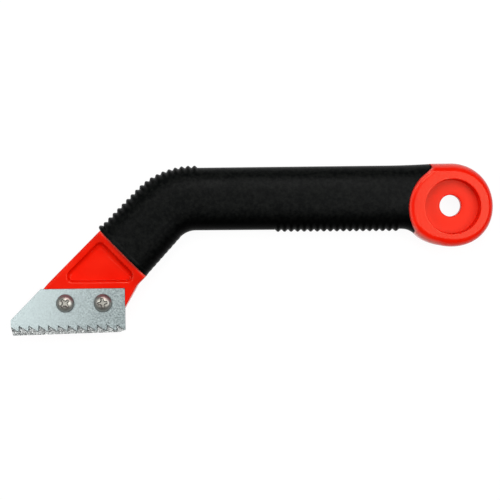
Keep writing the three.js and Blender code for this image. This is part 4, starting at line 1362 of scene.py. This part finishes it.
def white_floor():
    """White to the camera and in reflections, with a light shadow; plain pale paint to all other light."""
    made, tree, shader = material("white_floor")
    feed(tree, shader, Base_Color=(0.8, 0.8, 0.8, 1), Roughness=0.9, Specular_IOR_Level=0)
    rays = tree.nodes.new("ShaderNodeLightPath").outputs
    mirrored = math_node(tree, "MAXIMUM", rays["Is Glossy Ray"], rays["Is Transmission Ray"])
    seen = math_node(tree, "MAXIMUM", rays["Is Camera Ray"], mirrored)
    glow = tree.nodes.new("ShaderNodeEmission")
    feed(tree, glow, Strength=FLOOR_GLOW)
    mix = tree.nodes.new("ShaderNodeMixShader")
    share = math_node(tree, "MULTIPLY", seen, FLOOR_GLOW_SHARE)
    for socket, value in zip(mix.inputs, (share, shader.outputs[0], glow.outputs[0])):
        put(tree, socket, value)
    feed(tree, tree.nodes["Material Output"], Surface=mix.outputs[0])
    return made


bm = bmesh.new()
rim = bmesh.ops.create_circle(bm, cap_ends=True, segments=96, radius=STUDIO_RADIUS)["verts"]
wall = bmesh.ops.extrude_edge_only(bm, edges=edges_of(bm, rim))["geom"]
wall_top = [part for part in wall if isinstance(part, bmesh.types.BMVert)]
bmesh.ops.translate(bm, verts=wall_top, vec=(0, 0, WALL_HEIGHT))
studio_mesh = bpy.data.meshes.new("studio")
bm.to_mesh(studio_mesh)
bm.free()
studio_mesh.materials.append(white_floor())
studio = add_object("studio", studio_mesh)
studio.location.z = cad_bounds[0][2] - FLOOR_CLEARANCE

WORLD_LEVEL = 0.15
world = bpy.data.worlds.new("sky")
bpy.context.scene.world = world
world.use_nodes = True
sky = world.node_tree.nodes["Background"]
sky.inputs["Color"].default_value = (1, 1, 1, 1)
sky.inputs["Strength"].default_value = WORLD_LEVEL

low, high = (np.array(corner) for corner in cad_bounds)
TARGET = Vector((low + high) / 2)


def softbox(name, place, size, power):
    """A square lamp turned to face the object; place is from its middle, in metres, and power in watts."""
    lamp = bpy.data.lights.new(name, "AREA")
    lamp.shape = "SQUARE"
    lamp.size = size
    lamp.energy = power
    obj = add_object(name, lamp)
    obj.location = TARGET + Vector(place)
    obj.rotation_euler = (-Vector(place)).to_track_quat("-Z", "Y").to_euler()


softbox("top", (0.0, 0.39, 0.8), 0.35, 2.9)
softbox("right", (0.34, 0.0, 0.76), 0.45, 2.95)
softbox("left", (-0.46, 0.0, 0.7), 0.4, 1.75)

# The photo's width in pixels, its millimetres to the pixel, and the pixels that the hanging hole's centre
# and the lens's axis fall on; then the camera's distance and sensor in millimetres.
PHOTO_WIDTH = 500
PHOTO_SCALE = 0.44
PHOTO_HOLE = (449.75, 205.7)
PHOTO_AXIS = (250.0, 208.0)
CAMERA_DISTANCE = 700.0
SENSOR = 36.0

camera_data = bpy.data.cameras.new("camera")
camera_data.sensor_width = SENSOR
camera_data.lens = SENSOR * CAMERA_DISTANCE / (PHOTO_WIDTH * PHOTO_SCALE)
camera_data.clip_end = 20
camera = add_object("camera", camera_data)
aim = np.subtract(PHOTO_AXIS, PHOTO_HOLE) * PHOTO_SCALE
camera.location = Vector(np.array([aim[0], -aim[1], CAMERA_DISTANCE]) * MM + ORIGIN)
camera_data.shift_x = 0.5 - PHOTO_AXIS[0] / PHOTO_WIDTH
camera_data.shift_y = PHOTO_AXIS[1] / PHOTO_WIDTH - 0.5
bpy.context.scene.camera = camera
bpy.context.scene.view_settings.view_transform = "Standard"
